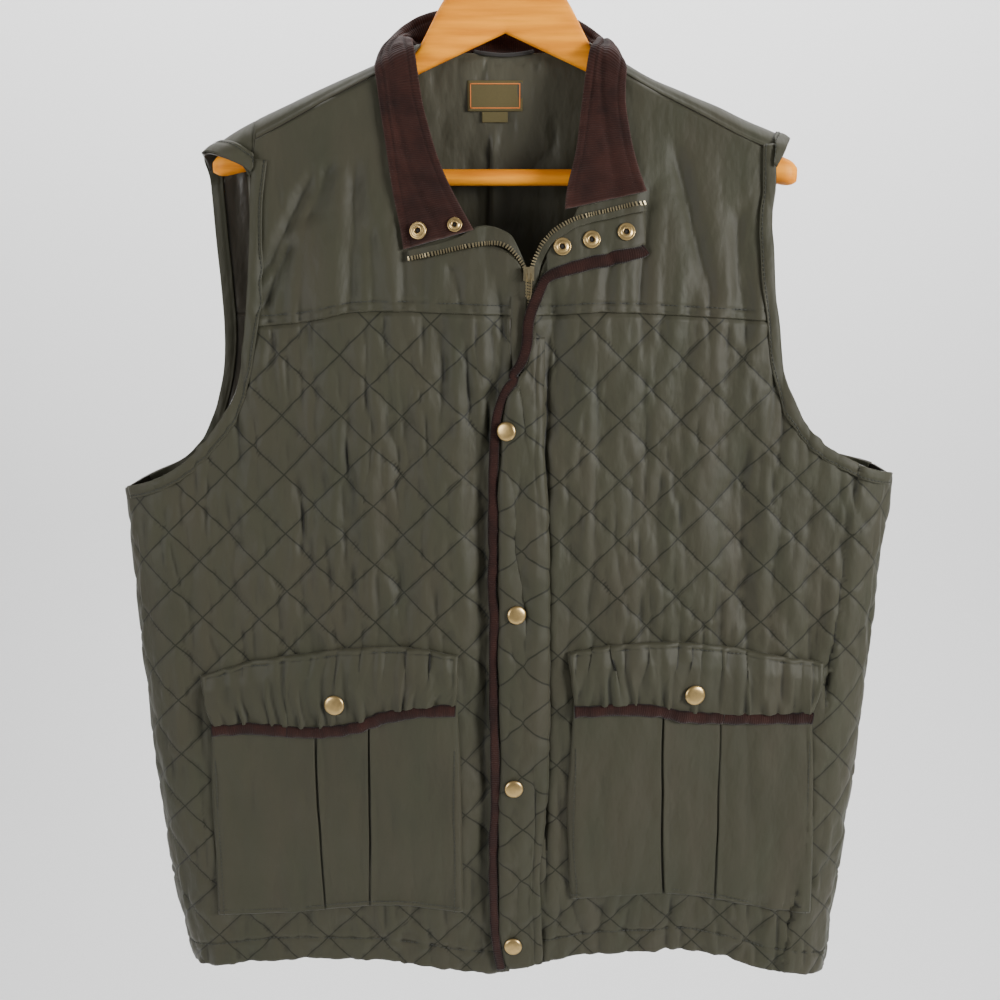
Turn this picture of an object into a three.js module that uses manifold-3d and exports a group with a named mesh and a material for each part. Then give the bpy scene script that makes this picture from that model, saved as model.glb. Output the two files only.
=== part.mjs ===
// Quilted vest with corduroy collar, hung on a wooden hanger.
// Millimetres, +Z up, the front faces -Y, the origin is the inner top of the hook.
import * as THREE from 'three';
import Module from 'manifold-3d';

const wasm = await Module();
wasm.setup();

// Colours and classes
const OLIVE = { color: 0x4b4d42, roughness: 0.55, metalness: 0 };
const LINING = { color: 0x40423a, roughness: 0.5, metalness: 0 };
const CORDUROY = { color: 0x3e2422, roughness: 0.9, metalness: 0 };
const BRASS = { color: 0xb69860, roughness: 0.35, metalness: 1 };
const ZIP_METAL = { color: 0xb4a882, roughness: 0.35, metalness: 1 };
const TAPE = { color: 0x35382f, roughness: 0.8, metalness: 0 };
const WOOD = { color: 0xdea562, roughness: 0.45, metalness: 0 };
const STEEL = { color: 0xb8bcc0, roughness: 0.25, metalness: 1 };
const LABEL = { color: 0x4e4a2c, roughness: 0.8, metalness: 0 };

// Cloth
const WALL = 2.4;            // thickness of a plain wall
const SEAM_GAP = 0.3;        // between two pieces at a seam
const QUILT_PITCH = 46.6;    // diamond width and height
const QUILT_RISE = 1.6;      // padding above the seams of the quilting
const ON_QUILT = WALL + QUILT_RISE + SEAM_GAP;
const ON_YOKE = WALL + SEAM_GAP;
const YOKE_Z = -325;         // level at which the body takes its full depth
const NECK_X = 67;           // half width of the neck at the shoulders
const TIP_X = 227;           // half width at the shoulder tips
const ROUND = [13, 22];      // radius of the cloth over the hanger, at the neck and at the tips

// Section of the body, by level: half widths, depth and crown
const LEVELS = [
  // z, left, right, depth, frontCrown, backCrown
  [-320, 306, 311, 30, 14, 5],
  [-460, 305, 311, 33, 16, 6],
  [-525, 303, 306, 35, 17, 7],
  [-600, 300, 302, 37, 17, 8],
  [-680, 297, 298, 39, 16, 8],
  [-750, 292, 293, 41, 14, 7],
  [-824, 284, 287, 43, 10, 6],
  [-900, 271, 282, 46, 6, 5],
];

// Outer line of the shoulders, from the left tip to the right one
const RIDGE = [
  [-240, -209], [-217, -194], [-202, -185], [-157, -163.5], [-110, -143.5], [-95, -137],
  [-67, -124], [-40, -118], [0, -117], [40, -118], [67, -124], [90, -137.5], [110, -148],
  [149, -163.5], [187, -180], [208, -188.5], [217, -192.5], [230, -199],
];

// Deepest folds of the front: foot and head of each trough, width and depth
const FOLDS = [
  // x0, z0, x1, z1, width, depth
  [-84, -575, -80, -395, 22, 4.5],
  [186, -590, 182, -405, 24, 5],
  [-186, -300, -148, -225, 12, 2.5],
  [150, -312, 126, -190, 13, 2.5],
  [-118, -318, -112, -190, 14, 2],
];

function mix(a, b, k) {
  return a + (b - a) * k;
}

function smooth(k) {
  const c = Math.min(1, Math.max(0, k));
  return c * c * (3 - 2 * c);
}

// Value of a table at x by Hermite interpolation; the table runs up or down
function curve(table, x, column = 1) {
  const sign = Math.sign(table[table.length - 1][0] - table[0][0]);
  const last = table.length - 2;
  let i = 0;
  while (i < last && (table[i + 1][0] - x) * sign < 0) i += 1;
  const [a, b] = [table[i], table[i + 1]];
  const slope = (p, q) => (q[column] - p[column]) / (q[0] - p[0]);
  const mid = slope(a, b);
  const m0 = i > 0 ? (slope(table[i - 1], a) + mid) / 2 : mid;
  const m1 = i < last ? (mid + slope(b, table[i + 2])) / 2 : mid;
  const h = b[0] - a[0];
  const k = Math.min(1, Math.max(0, (x - a[0]) / h));
  const k2 = k * k;
  const k3 = k2 * k;
  return a[column] * (2 * k3 - 3 * k2 + 1) + b[column] * (3 * k2 - 2 * k3)
    + h * (m0 * (k3 - 2 * k2 + k) + m1 * (k3 - k2));
}

const ridge = (x) => curve(RIDGE, x) - WALL;

function shoulderRadius(x) {
  const beyond = Math.max(0, Math.abs(x) - NECK_X) / (TIP_X - NECK_X);
  return ROUND[0] + (ROUND[1] - ROUND[0]) * beyond;
}

function levelAt(s, z) {
  const zc = Math.min(LEVELS[0][0], Math.max(LEVELS[LEVELS.length - 1][0], z));
  return {
    half: curve(LEVELS, zc, s < 0 ? 1 : 2),
    depth: curve(LEVELS, zc, 3),
    crown: [curve(LEVELS, zc, 4), curve(LEVELS, zc, 5)],
  };
}

// Distance round the section from the centre to the side seam
function sideSeam(side, z) {
  const { half, depth } = levelAt(side, z);
  return side * (half - depth + depth * Math.PI / 2);
}

function foldDepth(x, z) {
  let sum = 0;
  for (const [x0, z0, x1, z1, width, depth] of FOLDS) {
    const k = (z - z0) / (z1 - z0);
    const centre = mix(x0, x1, k);
    const along = smooth(k * 4) * smooth((1 - k) * 4);
    sum += depth * along * Math.exp(-(((x - centre) / width) ** 2));
  }
  return sum;
}

// Point of the base surface: s round the section, z the level, face -1 front or 1 back
function basePoint(face, s, z) {
  const { half, depth, crown } = levelAt(s, z);
  const flat = half - depth;
  const a = Math.abs(s);
  const bulge = crown[face < 0 ? 0 : 1];
  const top = ridge(s);
  const r = shoulderRadius(s);
  if (a > flat && z < YOKE_Z) {
    const turn = (a - flat) / depth;
    return new THREE.Vector3(Math.sign(s) * (flat + depth * Math.sin(turn)), face * depth * Math.cos(turn), z);
  }
  const full = depth + bulge * (1 - Math.min(1, (a / flat) ** 2)) ** 2;
  let y = full;
  if (z > top - r) {
    y = Math.sqrt(Math.max(0, r * r - (z - top + r) ** 2));
  } else if (z > YOKE_Z) {
    y = mix(r, full, smooth((top - r - z) / (top - r - YOKE_Z)));
  }
  if (face < 0) y -= foldDepth(s, z);
  return new THREE.Vector3(s, face * y, z);
}

const PROBE = 1.5;           // step by which the slope of the cloth is measured

// Point at a distance t outside the base surface
function onBody(face, s, z, t) {
  const p = basePoint(face, s, z);
  const du = basePoint(face, s + PROBE, z).sub(basePoint(face, s - PROBE, z));
  const dv = basePoint(face, s, z).sub(basePoint(face, s, z - PROBE));
  const n = du.cross(dv).multiplyScalar(-face).normalize();
  return p.addScaledVector(n, t);
}

// Point of the shoulder: w along the cloth from the ridge, positive to the front
function shoulderBase(x, w) {
  const r = shoulderRadius(x);
  const quarter = r * Math.PI / 2;
  const centre = ridge(x) - r;
  if (Math.abs(w) > quarter) return basePoint(w > 0 ? -1 : 1, x, centre - Math.abs(w) + quarter);
  return new THREE.Vector3(x, -r * Math.sin(w / r), centre + r * Math.cos(w / r));
}

function onShoulder(x, w, t) {
  const du = shoulderBase(x + PROBE, w).sub(shoulderBase(x - PROBE, w));
  const dw = shoulderBase(x, w + PROBE).sub(shoulderBase(x, w - PROBE));
  return shoulderBase(x, w).addScaledVector(dw.cross(du).normalize(), t);
}

// Drop of the forward shoulder seam below the ridge: at the neck and at the tips
const SEAM_DROP = [8.5, 15];
const seamDrop = (x) => mix(...SEAM_DROP, smooth((Math.abs(x) - 95) / 90));

function alongBack(x, z) {
  const r = shoulderRadius(x);
  return -(r * Math.PI / 2 + ridge(x) - r - z);
}

// Solids

function material(look) {
  return new THREE.MeshStandardMaterial({ ...look, side: THREE.DoubleSide });
}

const group = new THREE.Group();
group.name = 'quilted_vest_on_hanger';

function addMesh(name, geometry, look) {
  geometry.computeVertexNormals();
  const mesh = new THREE.Mesh(geometry, material(look));
  mesh.name = name;
  group.add(mesh);
}

function geometryOf(points, faces) {
  const geometry = new THREE.BufferGeometry();
  geometry.setAttribute('position', new THREE.Float32BufferAttribute(points.flatMap((p) => [p.x, p.y, p.z]), 3));
  geometry.setIndex(faces.flat());
  return outward(geometry);
}

// Turns the faces outward when the enclosed volume comes out negative
function outward(geometry) {
  const index = geometry.index.array;
  const at = (i) => new THREE.Vector3().fromBufferAttribute(geometry.attributes.position, i);
  let volume = 0;
  for (let i = 0; i < index.length; i += 3) {
    volume += at(index[i]).dot(at(index[i + 1]).cross(at(index[i + 2])));
  }
  if (volume < 0) {
    for (let i = 0; i < index.length; i += 3) [index[i], index[i + 1]] = [index[i + 1], index[i]];
  }
  return geometry;
}

// Thick sheet from a grid of places: place(i, j, t) gives the point at height t
function sheetGeometry(rows, cols, place, low, high) {
  const points = [];
  const faces = [];
  const height = (limit, i, j) => (typeof limit === 'function' ? limit(i, j) : limit);
  for (const limit of [low, high]) {
    for (let i = 0; i <= rows; i += 1) {
      for (let j = 0; j <= cols; j += 1) points.push(place(i, j, height(limit, i, j)));
    }
  }
  const layer = (rows + 1) * (cols + 1);
  const id = (i, j, k) => k * layer + i * (cols + 1) + j;
  const quad = (a, b, c, d) => faces.push([a, b, c], [a, c, d]);
  for (let i = 0; i < rows; i += 1) {
    for (let j = 0; j < cols; j += 1) {
      quad(id(i, j, 1), id(i, j + 1, 1), id(i + 1, j + 1, 1), id(i + 1, j, 1));
      quad(id(i, j, 0), id(i + 1, j, 0), id(i + 1, j + 1, 0), id(i, j + 1, 0));
    }
  }
  for (let j = 0; j < cols; j += 1) {
    quad(id(0, j, 0), id(0, j + 1, 0), id(0, j + 1, 1), id(0, j, 1));
    quad(id(rows, j + 1, 0), id(rows, j, 0), id(rows, j, 1), id(rows, j + 1, 1));
  }
  for (let i = 0; i < rows; i += 1) {
    quad(id(i + 1, 0, 0), id(i, 0, 0), id(i, 0, 1), id(i + 1, 0, 1));
    quad(id(i, cols, 0), id(i + 1, cols, 0), id(i + 1, cols, 1), id(i, cols, 1));
  }
  return geometryOf(points, faces);
}

// Solid through a row of equal rings, closed by a fan at each end or joined round
function loftGeometry(rings, closed = false) {
  const n = rings[0].length;
  const points = rings.flat();
  const faces = [];
  const count = closed ? rings.length : rings.length - 1;
  for (let i = 0; i < count; i += 1) {
    const a = i * n;
    const b = ((i + 1) % rings.length) * n;
    for (let j = 0; j < n; j += 1) {
      const k = (j + 1) % n;
      faces.push([a + j, a + k, b + k], [a + j, b + k, b + j]);
    }
  }
  if (!closed) {
    const end = (rings.length - 1) * n;
    for (let j = 1; j < n - 1; j += 1) faces.push([0, j + 1, j], [end, end + j, end + j + 1]);
  }
  return geometryOf(points, faces);
}

// Grid of flat places filled in between four edges given as short lists of points
function coons(bottom, top, left, right) {
  const along = (list, k) => {
    const at = k * (list.length - 1);
    const table = (c) => list.map((p, i) => [i, p[c]]);
    return [curve(table(0), at), curve(table(1), at)];
  };
  return (u, v) => {
    const [b, t, l, r] = [along(bottom, u), along(top, u), along(left, v), along(right, v)];
    const [c00, c10] = [bottom[0], bottom[bottom.length - 1]];
    const [c01, c11] = [top[0], top[top.length - 1]];
    return [0, 1].map((c) => mix(b[c], t[c], v) + mix(l[c], r[c], u)
      - mix(mix(c00[c], c10[c], u), mix(c01[c], c11[c], u), v));
  };
}

// Sheet laid on the front or back between four edges
function patch(name, look, face, edges, [rows, cols], low, high) {
  const flat = coons(...edges);
  const place = (i, j, t) => {
    const [x, z] = flat(j / cols, i / rows);
    return onBody(face, x, z, t);
  };
  addMesh(name, sheetGeometry(rows, cols, place, low, high), look);
}

// Cord or band of elliptical section along a path; side gives the wide direction
function band(name, look, path, width, height, sides, sideOf, closed = false) {
  const rings = path.map((p, i) => {
    const before = path[Math.max(0, i - 1)];
    const after = path[Math.min(path.length - 1, i + 1)];
    const run = after.clone().sub(before).normalize();
    const up = sideOf(i, p).clone();
    up.addScaledVector(run, -up.dot(run)).normalize();
    const across = new THREE.Vector3().crossVectors(run, up);
    return Array.from({ length: sides }, (_, k) => {
      const turn = (k + 0.5) * 2 * Math.PI / sides;
      return p.clone()
        .addScaledVector(across, width / 2 * Math.cos(turn))
        .addScaledVector(up, height / 2 * Math.sin(turn));
    });
  });
  addMesh(name, loftGeometry(rings, closed), look);
}

// Points of a smooth line through a short list, count of them at even steps
function smoothPath(list, count) {
  const line = new THREE.CatmullRomCurve3(list.map((p) => new THREE.Vector3(...p)), false, 'centripetal');
  return line.getSpacedPoints(count - 1);
}

// Round piece turned about the surface normal: profile of [radius, height]
function turned(name, look, centre, normal, profile, segments) {
  const geometry = new THREE.LatheGeometry(profile.map(([r, h]) => new THREE.Vector2(r, h)), segments);
  const merged = weld(geometry);
  const turn = new THREE.Quaternion().setFromUnitVectors(new THREE.Vector3(0, 1, 0), normal);
  merged.applyQuaternion(turn);
  merged.translate(centre.x, centre.y, centre.z);
  addMesh(name, outward(merged), look);
}

// Joins equal vertices and drops empty faces
function weld(geometry) {
  const source = geometry.attributes.position;
  const index = geometry.index ? Array.from(geometry.index.array) : source.array.map((_, i) => i);
  const known = new Map();
  const points = [];
  const ids = [];
  for (let i = 0; i < source.count; i += 1) {
    const p = new THREE.Vector3().fromBufferAttribute(source, i);
    const key = [p.x, p.y, p.z].map((c) => Math.round(c * 1000)).join();
    if (!known.has(key)) {
      known.set(key, points.length);
      points.push(p);
    }
    ids.push(known.get(key));
  }
  const faces = [];
  for (let i = 0; i < index.length; i += 3) {
    const [a, b, c] = [ids[index[i]], ids[index[i + 1]], ids[index[i + 2]]];
    if (a !== b && b !== c && c !== a) faces.push([a, b, c]);
  }
  return geometryOf(points, faces);
}

function toManifold(geometry) {
  return new wasm.Manifold(new wasm.Mesh({
    numProp: 3,
    vertProperties: new Float32Array(geometry.attributes.position.array),
    triVerts: new Uint32Array(geometry.index.array),
  }));
}

function fromManifold(solid, map = (p) => p) {
  const mesh = solid.getMesh();
  const points = [];
  for (let i = 0; i < mesh.vertProperties.length; i += mesh.numProp) {
    points.push(map(new THREE.Vector3(...mesh.vertProperties.slice(i, i + 3))));
  }
  const faces = [];
  for (let i = 0; i < mesh.triVerts.length; i += 3) faces.push([...mesh.triVerts.slice(i, i + 3)]);
  return weld(geometryOf(points, faces));
}

// Quilted panel: diamonds on a lattice, cut to the outline while flat, then draped

const BOW = 1e-4;            // slight bow that keeps the flat lattice from merging
const FOOT = -20;            // level of the flat foot that is cut away
const bow = (s, z) => BOW * (s * s + z * z);

function quiltRise(s, z, [s0, z0]) {
  const a = (s - s0 + z - z0) / QUILT_PITCH;
  const b = (s - s0 - z + z0) / QUILT_PITCH;
  const near = (k) => Math.abs(k - Math.round(k));
  return QUILT_RISE * 2 * Math.min(near(a), near(b));
}

// Block with a relief on top: a grid of heights over a flat foot
function reliefBlock(sStops, zStops, height, foot, flip) {
  const points = [];
  const faces = [];
  const cols = sStops.length;
  for (const top of [false, true]) {
    for (const z of zStops) {
      for (const x of sStops) points.push(new THREE.Vector3(x, z, top ? height(x, z) : foot));
    }
  }
  const id = (i, j, k) => k * cols * zStops.length + j * cols + i;
  for (let j = 0; j < zStops.length - 1; j += 1) {
    for (let i = 0; i < cols - 1; i += 1) {
      for (const k of [0, 1]) {
        const [a, b, c, d] = [id(i, j, k), id(i + 1, j, k), id(i + 1, j + 1, k), id(i, j + 1, k)];
        const pair = flip(i, j) ? [[a, b, d], [b, c, d]] : [[a, b, c], [a, c, d]];
        faces.push(...(k ? pair : pair.map((t) => [t[1], t[0], t[2]])));
      }
    }
  }
  const [lastI, lastJ] = [cols - 1, zStops.length - 1];
  const rim = [];
  for (let i = 0; i < lastI; i += 1) rim.push([i, 0]);
  for (let j = 0; j < lastJ; j += 1) rim.push([lastI, j]);
  for (let i = lastI; i > 0; i -= 1) rim.push([i, lastJ]);
  for (let j = lastJ; j > 0; j -= 1) rim.push([0, j]);
  rim.forEach(([i, j], n) => {
    const [p, q] = rim[(n + 1) % rim.length];
    faces.push([id(i, j, 0), id(p, q, 0), id(p, q, 1)], [id(i, j, 0), id(p, q, 1), id(i, j, 1)]);
  });
  return toManifold(geometryOf(points, faces));
}

// Lattice lines that cover a range, a cell and more beyond it on each side
function latticeStops(values, start, cell) {
  const first = Math.floor((Math.min(...values) - start) / cell) - 1;
  const last = Math.ceil((Math.max(...values) - start) / cell) + 1;
  return Array.from({ length: last - first + 1 }, (_, k) => start + (first + k) * cell);
}

function quiltedPanel(name, face, outline, crossing) {
  const cell = QUILT_PITCH / 2;
  const sStops = latticeStops(outline.map((p) => p[0]), crossing[0], cell);
  const zStops = latticeStops(outline.map((p) => p[1]), crossing[1], cell);
  const parity = Math.round((sStops[0] - crossing[0] + zStops[0] - crossing[1]) / cell);
  const outer = reliefBlock(
    sStops,
    zStops,
    (x, z) => WALL + quiltRise(x, z, crossing) + bow(x, z),
    FOOT,
    (i, j) => (i + j + parity) % 2 !== 0,
  );
  const plainStops = latticeStops(outline.map((p) => p[1]), crossing[1], QUILT_PITCH);
  const inner = reliefBlock(sStops, plainStops, bow, FOOT - 10, () => false);
  const panel = outer.intersect(prism(outline, FOOT - 5, 200)).subtract(inner);
  const drape = (p) => onBody(face, p.x, p.y, p.z - bow(p.x, p.y));
  addMesh(name, fromManifold(panel, drape), OLIVE);
}

// Upright prism over a flat outline
function prism(outline, low, high) {
  const shape = outline.map(([x, y]) => new THREE.Vector2(x, y));
  if (THREE.ShapeUtils.area(shape) < 0) shape.reverse();
  const n = shape.length;
  const points = [low, high].flatMap((h) => shape.map((p) => new THREE.Vector3(p.x, p.y, h)));
  const faces = [];
  for (const [a, b, c] of THREE.ShapeUtils.triangulateShape(shape, [])) {
    faces.push([n + a, n + b, n + c], [b, a, c]);
  }
  for (let i = 0; i < n; i += 1) {
    const k = (i + 1) % n;
    faces.push([i, k, n + k], [i, n + k, n + i]);
  }
  return toManifold(geometryOf(points, faces));
}

// Edges of the cloth as seen from the front, x and z

const ARMHOLE_FRONT = {
  left: [[-188.5, -208], [-190, -225], [-192, -240], [-193, -274], [-195, -309], [-198, -335], [-202, -359],
    [-209, -384], [-222, -406], [-236, -423], [-255, -440], [-278, -452], [-297, -458]],
  right: [[203.5, -207], [204, -215], [203, -230], [201, -250], [202, -278], [204, -307], [207, -328],
    [212, -357], [220, -382], [230, -402], [249, -423], [270, -435], [288, -443], [304, -447]],
};
const ARMHOLE_BACK = {
  left: [[-233, -214], [-232, -236], [-231, -273], [-230, -310], [-230, -348], [-232, -368], [-236, -387],
    [-243, -407], [-254, -429], [-272, -446], [-297, -458]],
  right: [[216, -205], [213, -236], [211, -273], [210, -310], [211, -348], [214, -368], [220, -387],
    [232, -407], [249, -425], [273, -439], [304, -447]],
};
const YOKE_SEAM = [[-205, -333], [-184, -332], [-146, -328], [-117, -322], [-81, -321], [-52, -322],
  [8, -324], [37, -324], [70, -322], [146, -325], [193, -328], [215, -329]];
const HEM_FRONT = [[-330, -893], [-300, -886], [-249, -872], [-200, -865], [-155, -863], [-78, -863],
  [-55, -867], [-19, -873], [5, -870], [30, -863], [57, -857], [108, -854], [157, -855], [196, -865],
  [222, -874], [251, -879], [290, -890], [330, -893]];
const HEM_BACK_Z = -884;
const FRONT_EDGE = 11.5;     // line on which the two fronts meet under the placket
const TAPE_WIDTH = 13;
const UNDERARM = { left: -462, right: -452 };
const YOKE_COLS = 13;
const YOKE_SPAN = { left: [4.7, -198], right: [18.3, 207.6] };

// Distance round the section of a point given by its x
function roundFromX(x, z) {
  const { half, depth } = levelAt(x, z);
  const flat = half - depth;
  const over = Math.abs(x) - flat;
  if (over <= 0) return x;
  return Math.sign(x) * (flat + depth * Math.asin(Math.min(1, over / depth)));
}

const flatten = (list) => list.map(([x, z]) => [z < YOKE_Z ? roundFromX(x, z) : x, z]);

function sideLine(side, from, to) {
  const steps = 12;
  return Array.from({ length: steps + 1 }, (_, i) => {
    const z = mix(from, to, i / steps);
    return [sideSeam(side, z) - side * SEAM_GAP / 2, z];
  });
}

function seamLine(from, to, drop) {
  const steps = YOKE_COLS;
  return Array.from({ length: steps + 1 }, (_, i) => {
    const x = mix(from, to, i / steps);
    return [x, curve(YOKE_SEAM, x) + drop];
  });
}

function hemLine(from, to, heightAt) {
  const steps = 16;
  return Array.from({ length: steps + 1 }, (_, i) => {
    const x = mix(from, to, i / steps);
    return [x, heightAt(x)];
  });
}

function frontPanels() {
  const crossings = { left: [-149, -423], right: [88.4, -403] };
  for (const [key, side] of [['left', -1], ['right', 1]]) {
    const inner = FRONT_EDGE + side * (TAPE_WIDTH / 2 + SEAM_GAP);
    const hole = flatten(ARMHOLE_FRONT[key].filter((p) => p[1] < -334));
    const hemSide = sideSeam(side, HEM_BACK_Z) - side * SEAM_GAP / 2;
    const outline = [
      ...seamLine(...YOKE_SPAN[key], -SEAM_GAP),
      ...hole,
      ...sideLine(side, UNDERARM[key], HEM_BACK_Z - 4),
      ...hemLine(hemSide - side * 8, inner, (x) => curve(HEM_FRONT, x)),
    ];
    quiltedPanel(`front_${key}`, -1, outline, crossings[key]);
  }
}

function backPanel() {
  const left = flatten(ARMHOLE_BACK.left.filter((p) => p[1] < -340));
  const right = flatten(ARMHOLE_BACK.right.filter((p) => p[1] < -340));
  const seam = YOKE_Z - 2 - SEAM_GAP / 2;
  const outline = [
    [-230, seam],
    ...left,
    ...sideLine(-1, UNDERARM.left, HEM_BACK_Z - 4),
    ...sideLine(1, UNDERARM.right, HEM_BACK_Z - 4).reverse(),
    ...right.reverse(),
    [210.4, seam],
  ];
  quiltedPanel('back_panel', 1, outline, [0, -403]);
}

// Front yokes, from the yoke seam up to the forward shoulder seam
function frontYokes() {
  const seamTop = (from, to) => Array.from({ length: YOKE_COLS + 1 }, (_, i) => {
    const x = mix(from, to, i / YOKE_COLS);
    return [x, ridge(x) - seamDrop(x) - 0.45];
  });
  const edges = {
    left: [
      seamLine(-198, 4.7, SEAM_GAP / 2),
      seamTop(-187, -84),
      [[-198, -332.9], [-195, -309], [-193, -274], [-191, -240], [-190, -215], seamTop(-187, -84)[0]],
      [[4.7, -323.7], [6.5, -312], [10.6, -301], [9, -291], [-4, -281], [-26, -265], [-44, -242], [-60, -205],
        [-72, -170],
        seamTop(-187, -84)[YOKE_COLS]],
    ],
    right: [
      seamLine(207.6, 18.3, SEAM_GAP / 2),
      seamTop(200, 84),
      [[207.6, -328.4], [204, -307], [202, -278], [201.5, -250], [203.5, -220], seamTop(200, 84)[0]],
      [[18.3, -323.8], [20.2, -312], [24, -301], [27, -290], [34, -277], [46, -262], [56, -238], [64, -205],
        [72, -170],
        seamTop(200, 84)[YOKE_COLS]],
    ],
  };
  for (const key of ['left', 'right']) {
    patch(`front_yoke_${key}`, OLIVE, -1, edges[key], [12, YOKE_COLS], 0, WALL);
  }
}

// Back yoke: from the forward shoulder seam over the hanger and down the back
function backYoke() {
  const stops = [-232, -212, -190, -165, -140, -118, -98, -88, -80, -74, -68, -60, -32, 0,
    32, 60, 68, 74, 80, 88, 98, 120, 145, 170, 192, 206, 215];
  const rows = [0, 0.035, 0.08, 0.12, 0.17, 0.24, 0.34, 0.48, 0.64, 0.82, 1];
  const edgeLeft = [[0, -187], [0.035, -204], [0.08, -224], [0.12, -231], [0.24, -232], [1, -230]];
  const edgeRight = [[0, 199], [0.035, 208], [0.08, 214], [0.12, 216], [0.24, 214], [1, 210]];
  const still = 98;          // columns further out follow the armhole edge
  const topAlong = (x) => {
    const r = shoulderRadius(x);
    const front = r * Math.acos((r - seamDrop(x)) / r);
    const back = -r * Math.PI / 2;
    return mix(back, front, smooth((Math.abs(x) - 58) / 32));
  };
  const place = (i, j, t) => {
    const k = rows[i];
    const x0 = stops[j];
    const edge = curve(x0 < 0 ? edgeLeft : edgeRight, k);
    const last = x0 < 0 ? -stops[0] : stops[stops.length - 1];
    const reach = (Math.abs(edge) - still) / (last - still);
    const x = Math.abs(x0) > still ? Math.sign(x0) * (still + (Math.abs(x0) - still) * reach) : x0;
    const bottom = alongBack(x, YOKE_Z - 2 + SEAM_GAP / 2);
    return onShoulder(x, mix(topAlong(x), bottom, k), t);
  };
  addMesh('back_yoke', sheetGeometry(rows.length - 1, stops.length - 1, place, 0, WALL), OLIVE);
}

const LINING_DEPTH = [-2.4, -1];
const LABEL_DEPTH = [-3.7, -2.7];

// Lining of the back yoke with its centre pleat
function backLining() {
  const stops = [-196, -165, -130, -95, -62, -36, -20, -15, -14, -12, -9, -8, 8, 36, 62, 95, 130, 160, 188];
  const rise = [0, 0, 0, 0, 0, 0, 0, 2.2, 3.2, 3.2, 2.2, 0, 0, 0, 0, 0, 0, 0, 0];
  const rows = 8;
  const neckline = -134;
  const pleatTop = -184;
  const place = (i, j, t) => {
    const x = stops[j];
    const top = Math.min(neckline, ridge(x) - 30);
    const z = mix(top, YOKE_Z - 6, i / rows);
    return onBody(1, x, z, t - rise[j] * smooth((pleatTop - z) / 30));
  };
  addMesh('back_lining', sheetGeometry(rows, stops.length - 1, place, ...LINING_DEPTH), LINING);
}

// Collar: corduroy band through stations of inner and outer edge
function collar() {
  const thick = 3;
  const lift = 5;            // middle of the band over the cloth it lies on
  const front = (x, z) => onBody(-1, x, z, lift);
  const at = (x, y, z) => new THREE.Vector3(x, y, z);
  const over = (x, degrees) => onShoulder(x, shoulderRadius(x) * degrees * Math.PI / 180, lift + 0.9);
  const stations = [
    [front(-24, -262), front(-76, -276)],
    [front(-31, -247), front(-80, -258)],
    [front(-40, -232), front(-84, -236)],
    [front(-50, -210), front(-88, -206)],
    [front(-57, -186), front(-92, -181)],
    [front(-62, -166), front(-94.5, -164)],
    [over(-66, 76), over(-95, 76)],
    [over(-67, 46), over(-95, 46)],
    [over(-68, 14), over(-93, 14)],
    [at(-60, 15, -131), at(-71, 18, -113)],
    [at(-38, 14.5, -131.4), at(-44, 23, -98)],
    [at(0, 14.5, -131), at(0, 25, -94)],
    [at(38, 14.5, -131.4), at(42, 23, -98)],
    [at(58, 15, -131), at(67, 18, -113)],
    [over(66, 14), over(87, 14)],
    [over(64, 46), over(89, 46)],
    [over(61, 76), over(89, 76)],
    [front(57, -166), front(89, -165)],
    [front(55, -183), front(91, -180)],
    [front(52, -206), front(95, -203)],
    [front(46, -230), front(101, -223)],
    [front(44, -247), front(104, -233)],
  ];
  const rings = stations.map(([inner, outer], i) => {
    const before = stations[Math.max(0, i - 1)];
    const after = stations[Math.min(stations.length - 1, i + 1)];
    const run = after[0].clone().add(after[1]).sub(before[0]).sub(before[1]).normalize();
    const wide = outer.clone().sub(inner).normalize();
    const normal = new THREE.Vector3().crossVectors(wide, run).normalize();
    const width = outer.distanceTo(inner);
    const steps = [0, 0.33, 0.67, 1];
    const profile = [...steps.map((k) => [k, -0.5]), ...steps.reverse().map((k) => [k, 0.5])];
    return profile.map(([k, h]) => inner.clone()
      .addScaledVector(wide, width * k)
      .addScaledVector(normal, thick * h));
  });
  addMesh('collar', loftGeometry(rings), CORDUROY);
}

// Placket over the zip, its top turned out to the right, and the piping along its edge

const PIPING_PATH = [[-3, -866], [-6, -841], [-6, -760], [-5, -700], [-6, -626], [-6, -550], [-6, -474],
  [-4, -405], [0, -386], [9, -365], [15, -345], [19, -325], [22.5, -310], [26, -302], [30, -297],
  [36, -293.5], [45, -290.5], [58, -287], [76, -283], [93, -279.5], [106, -275.5]];
const PLACKET_EDGE = [[28, -327], [27, -386], [28, -430], [31, -490], [32, -551], [33, -627], [33, -673],
  [30, -736], [29, -784], [31, -861]];

const PIPING = { width: 6.6, height: 3.2 };
const FLAP_EDGE = { width: 8.4, height: 3 };
const FORWARD = new THREE.Vector3(0, -1, 0);
const PLACKET_CAPS = [[3, -410], [8, -554.7], [7, -699.3], [7, -844]];
const CAP_STEP = 20.67;      // seven rows of the placket from one cap to the next

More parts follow.
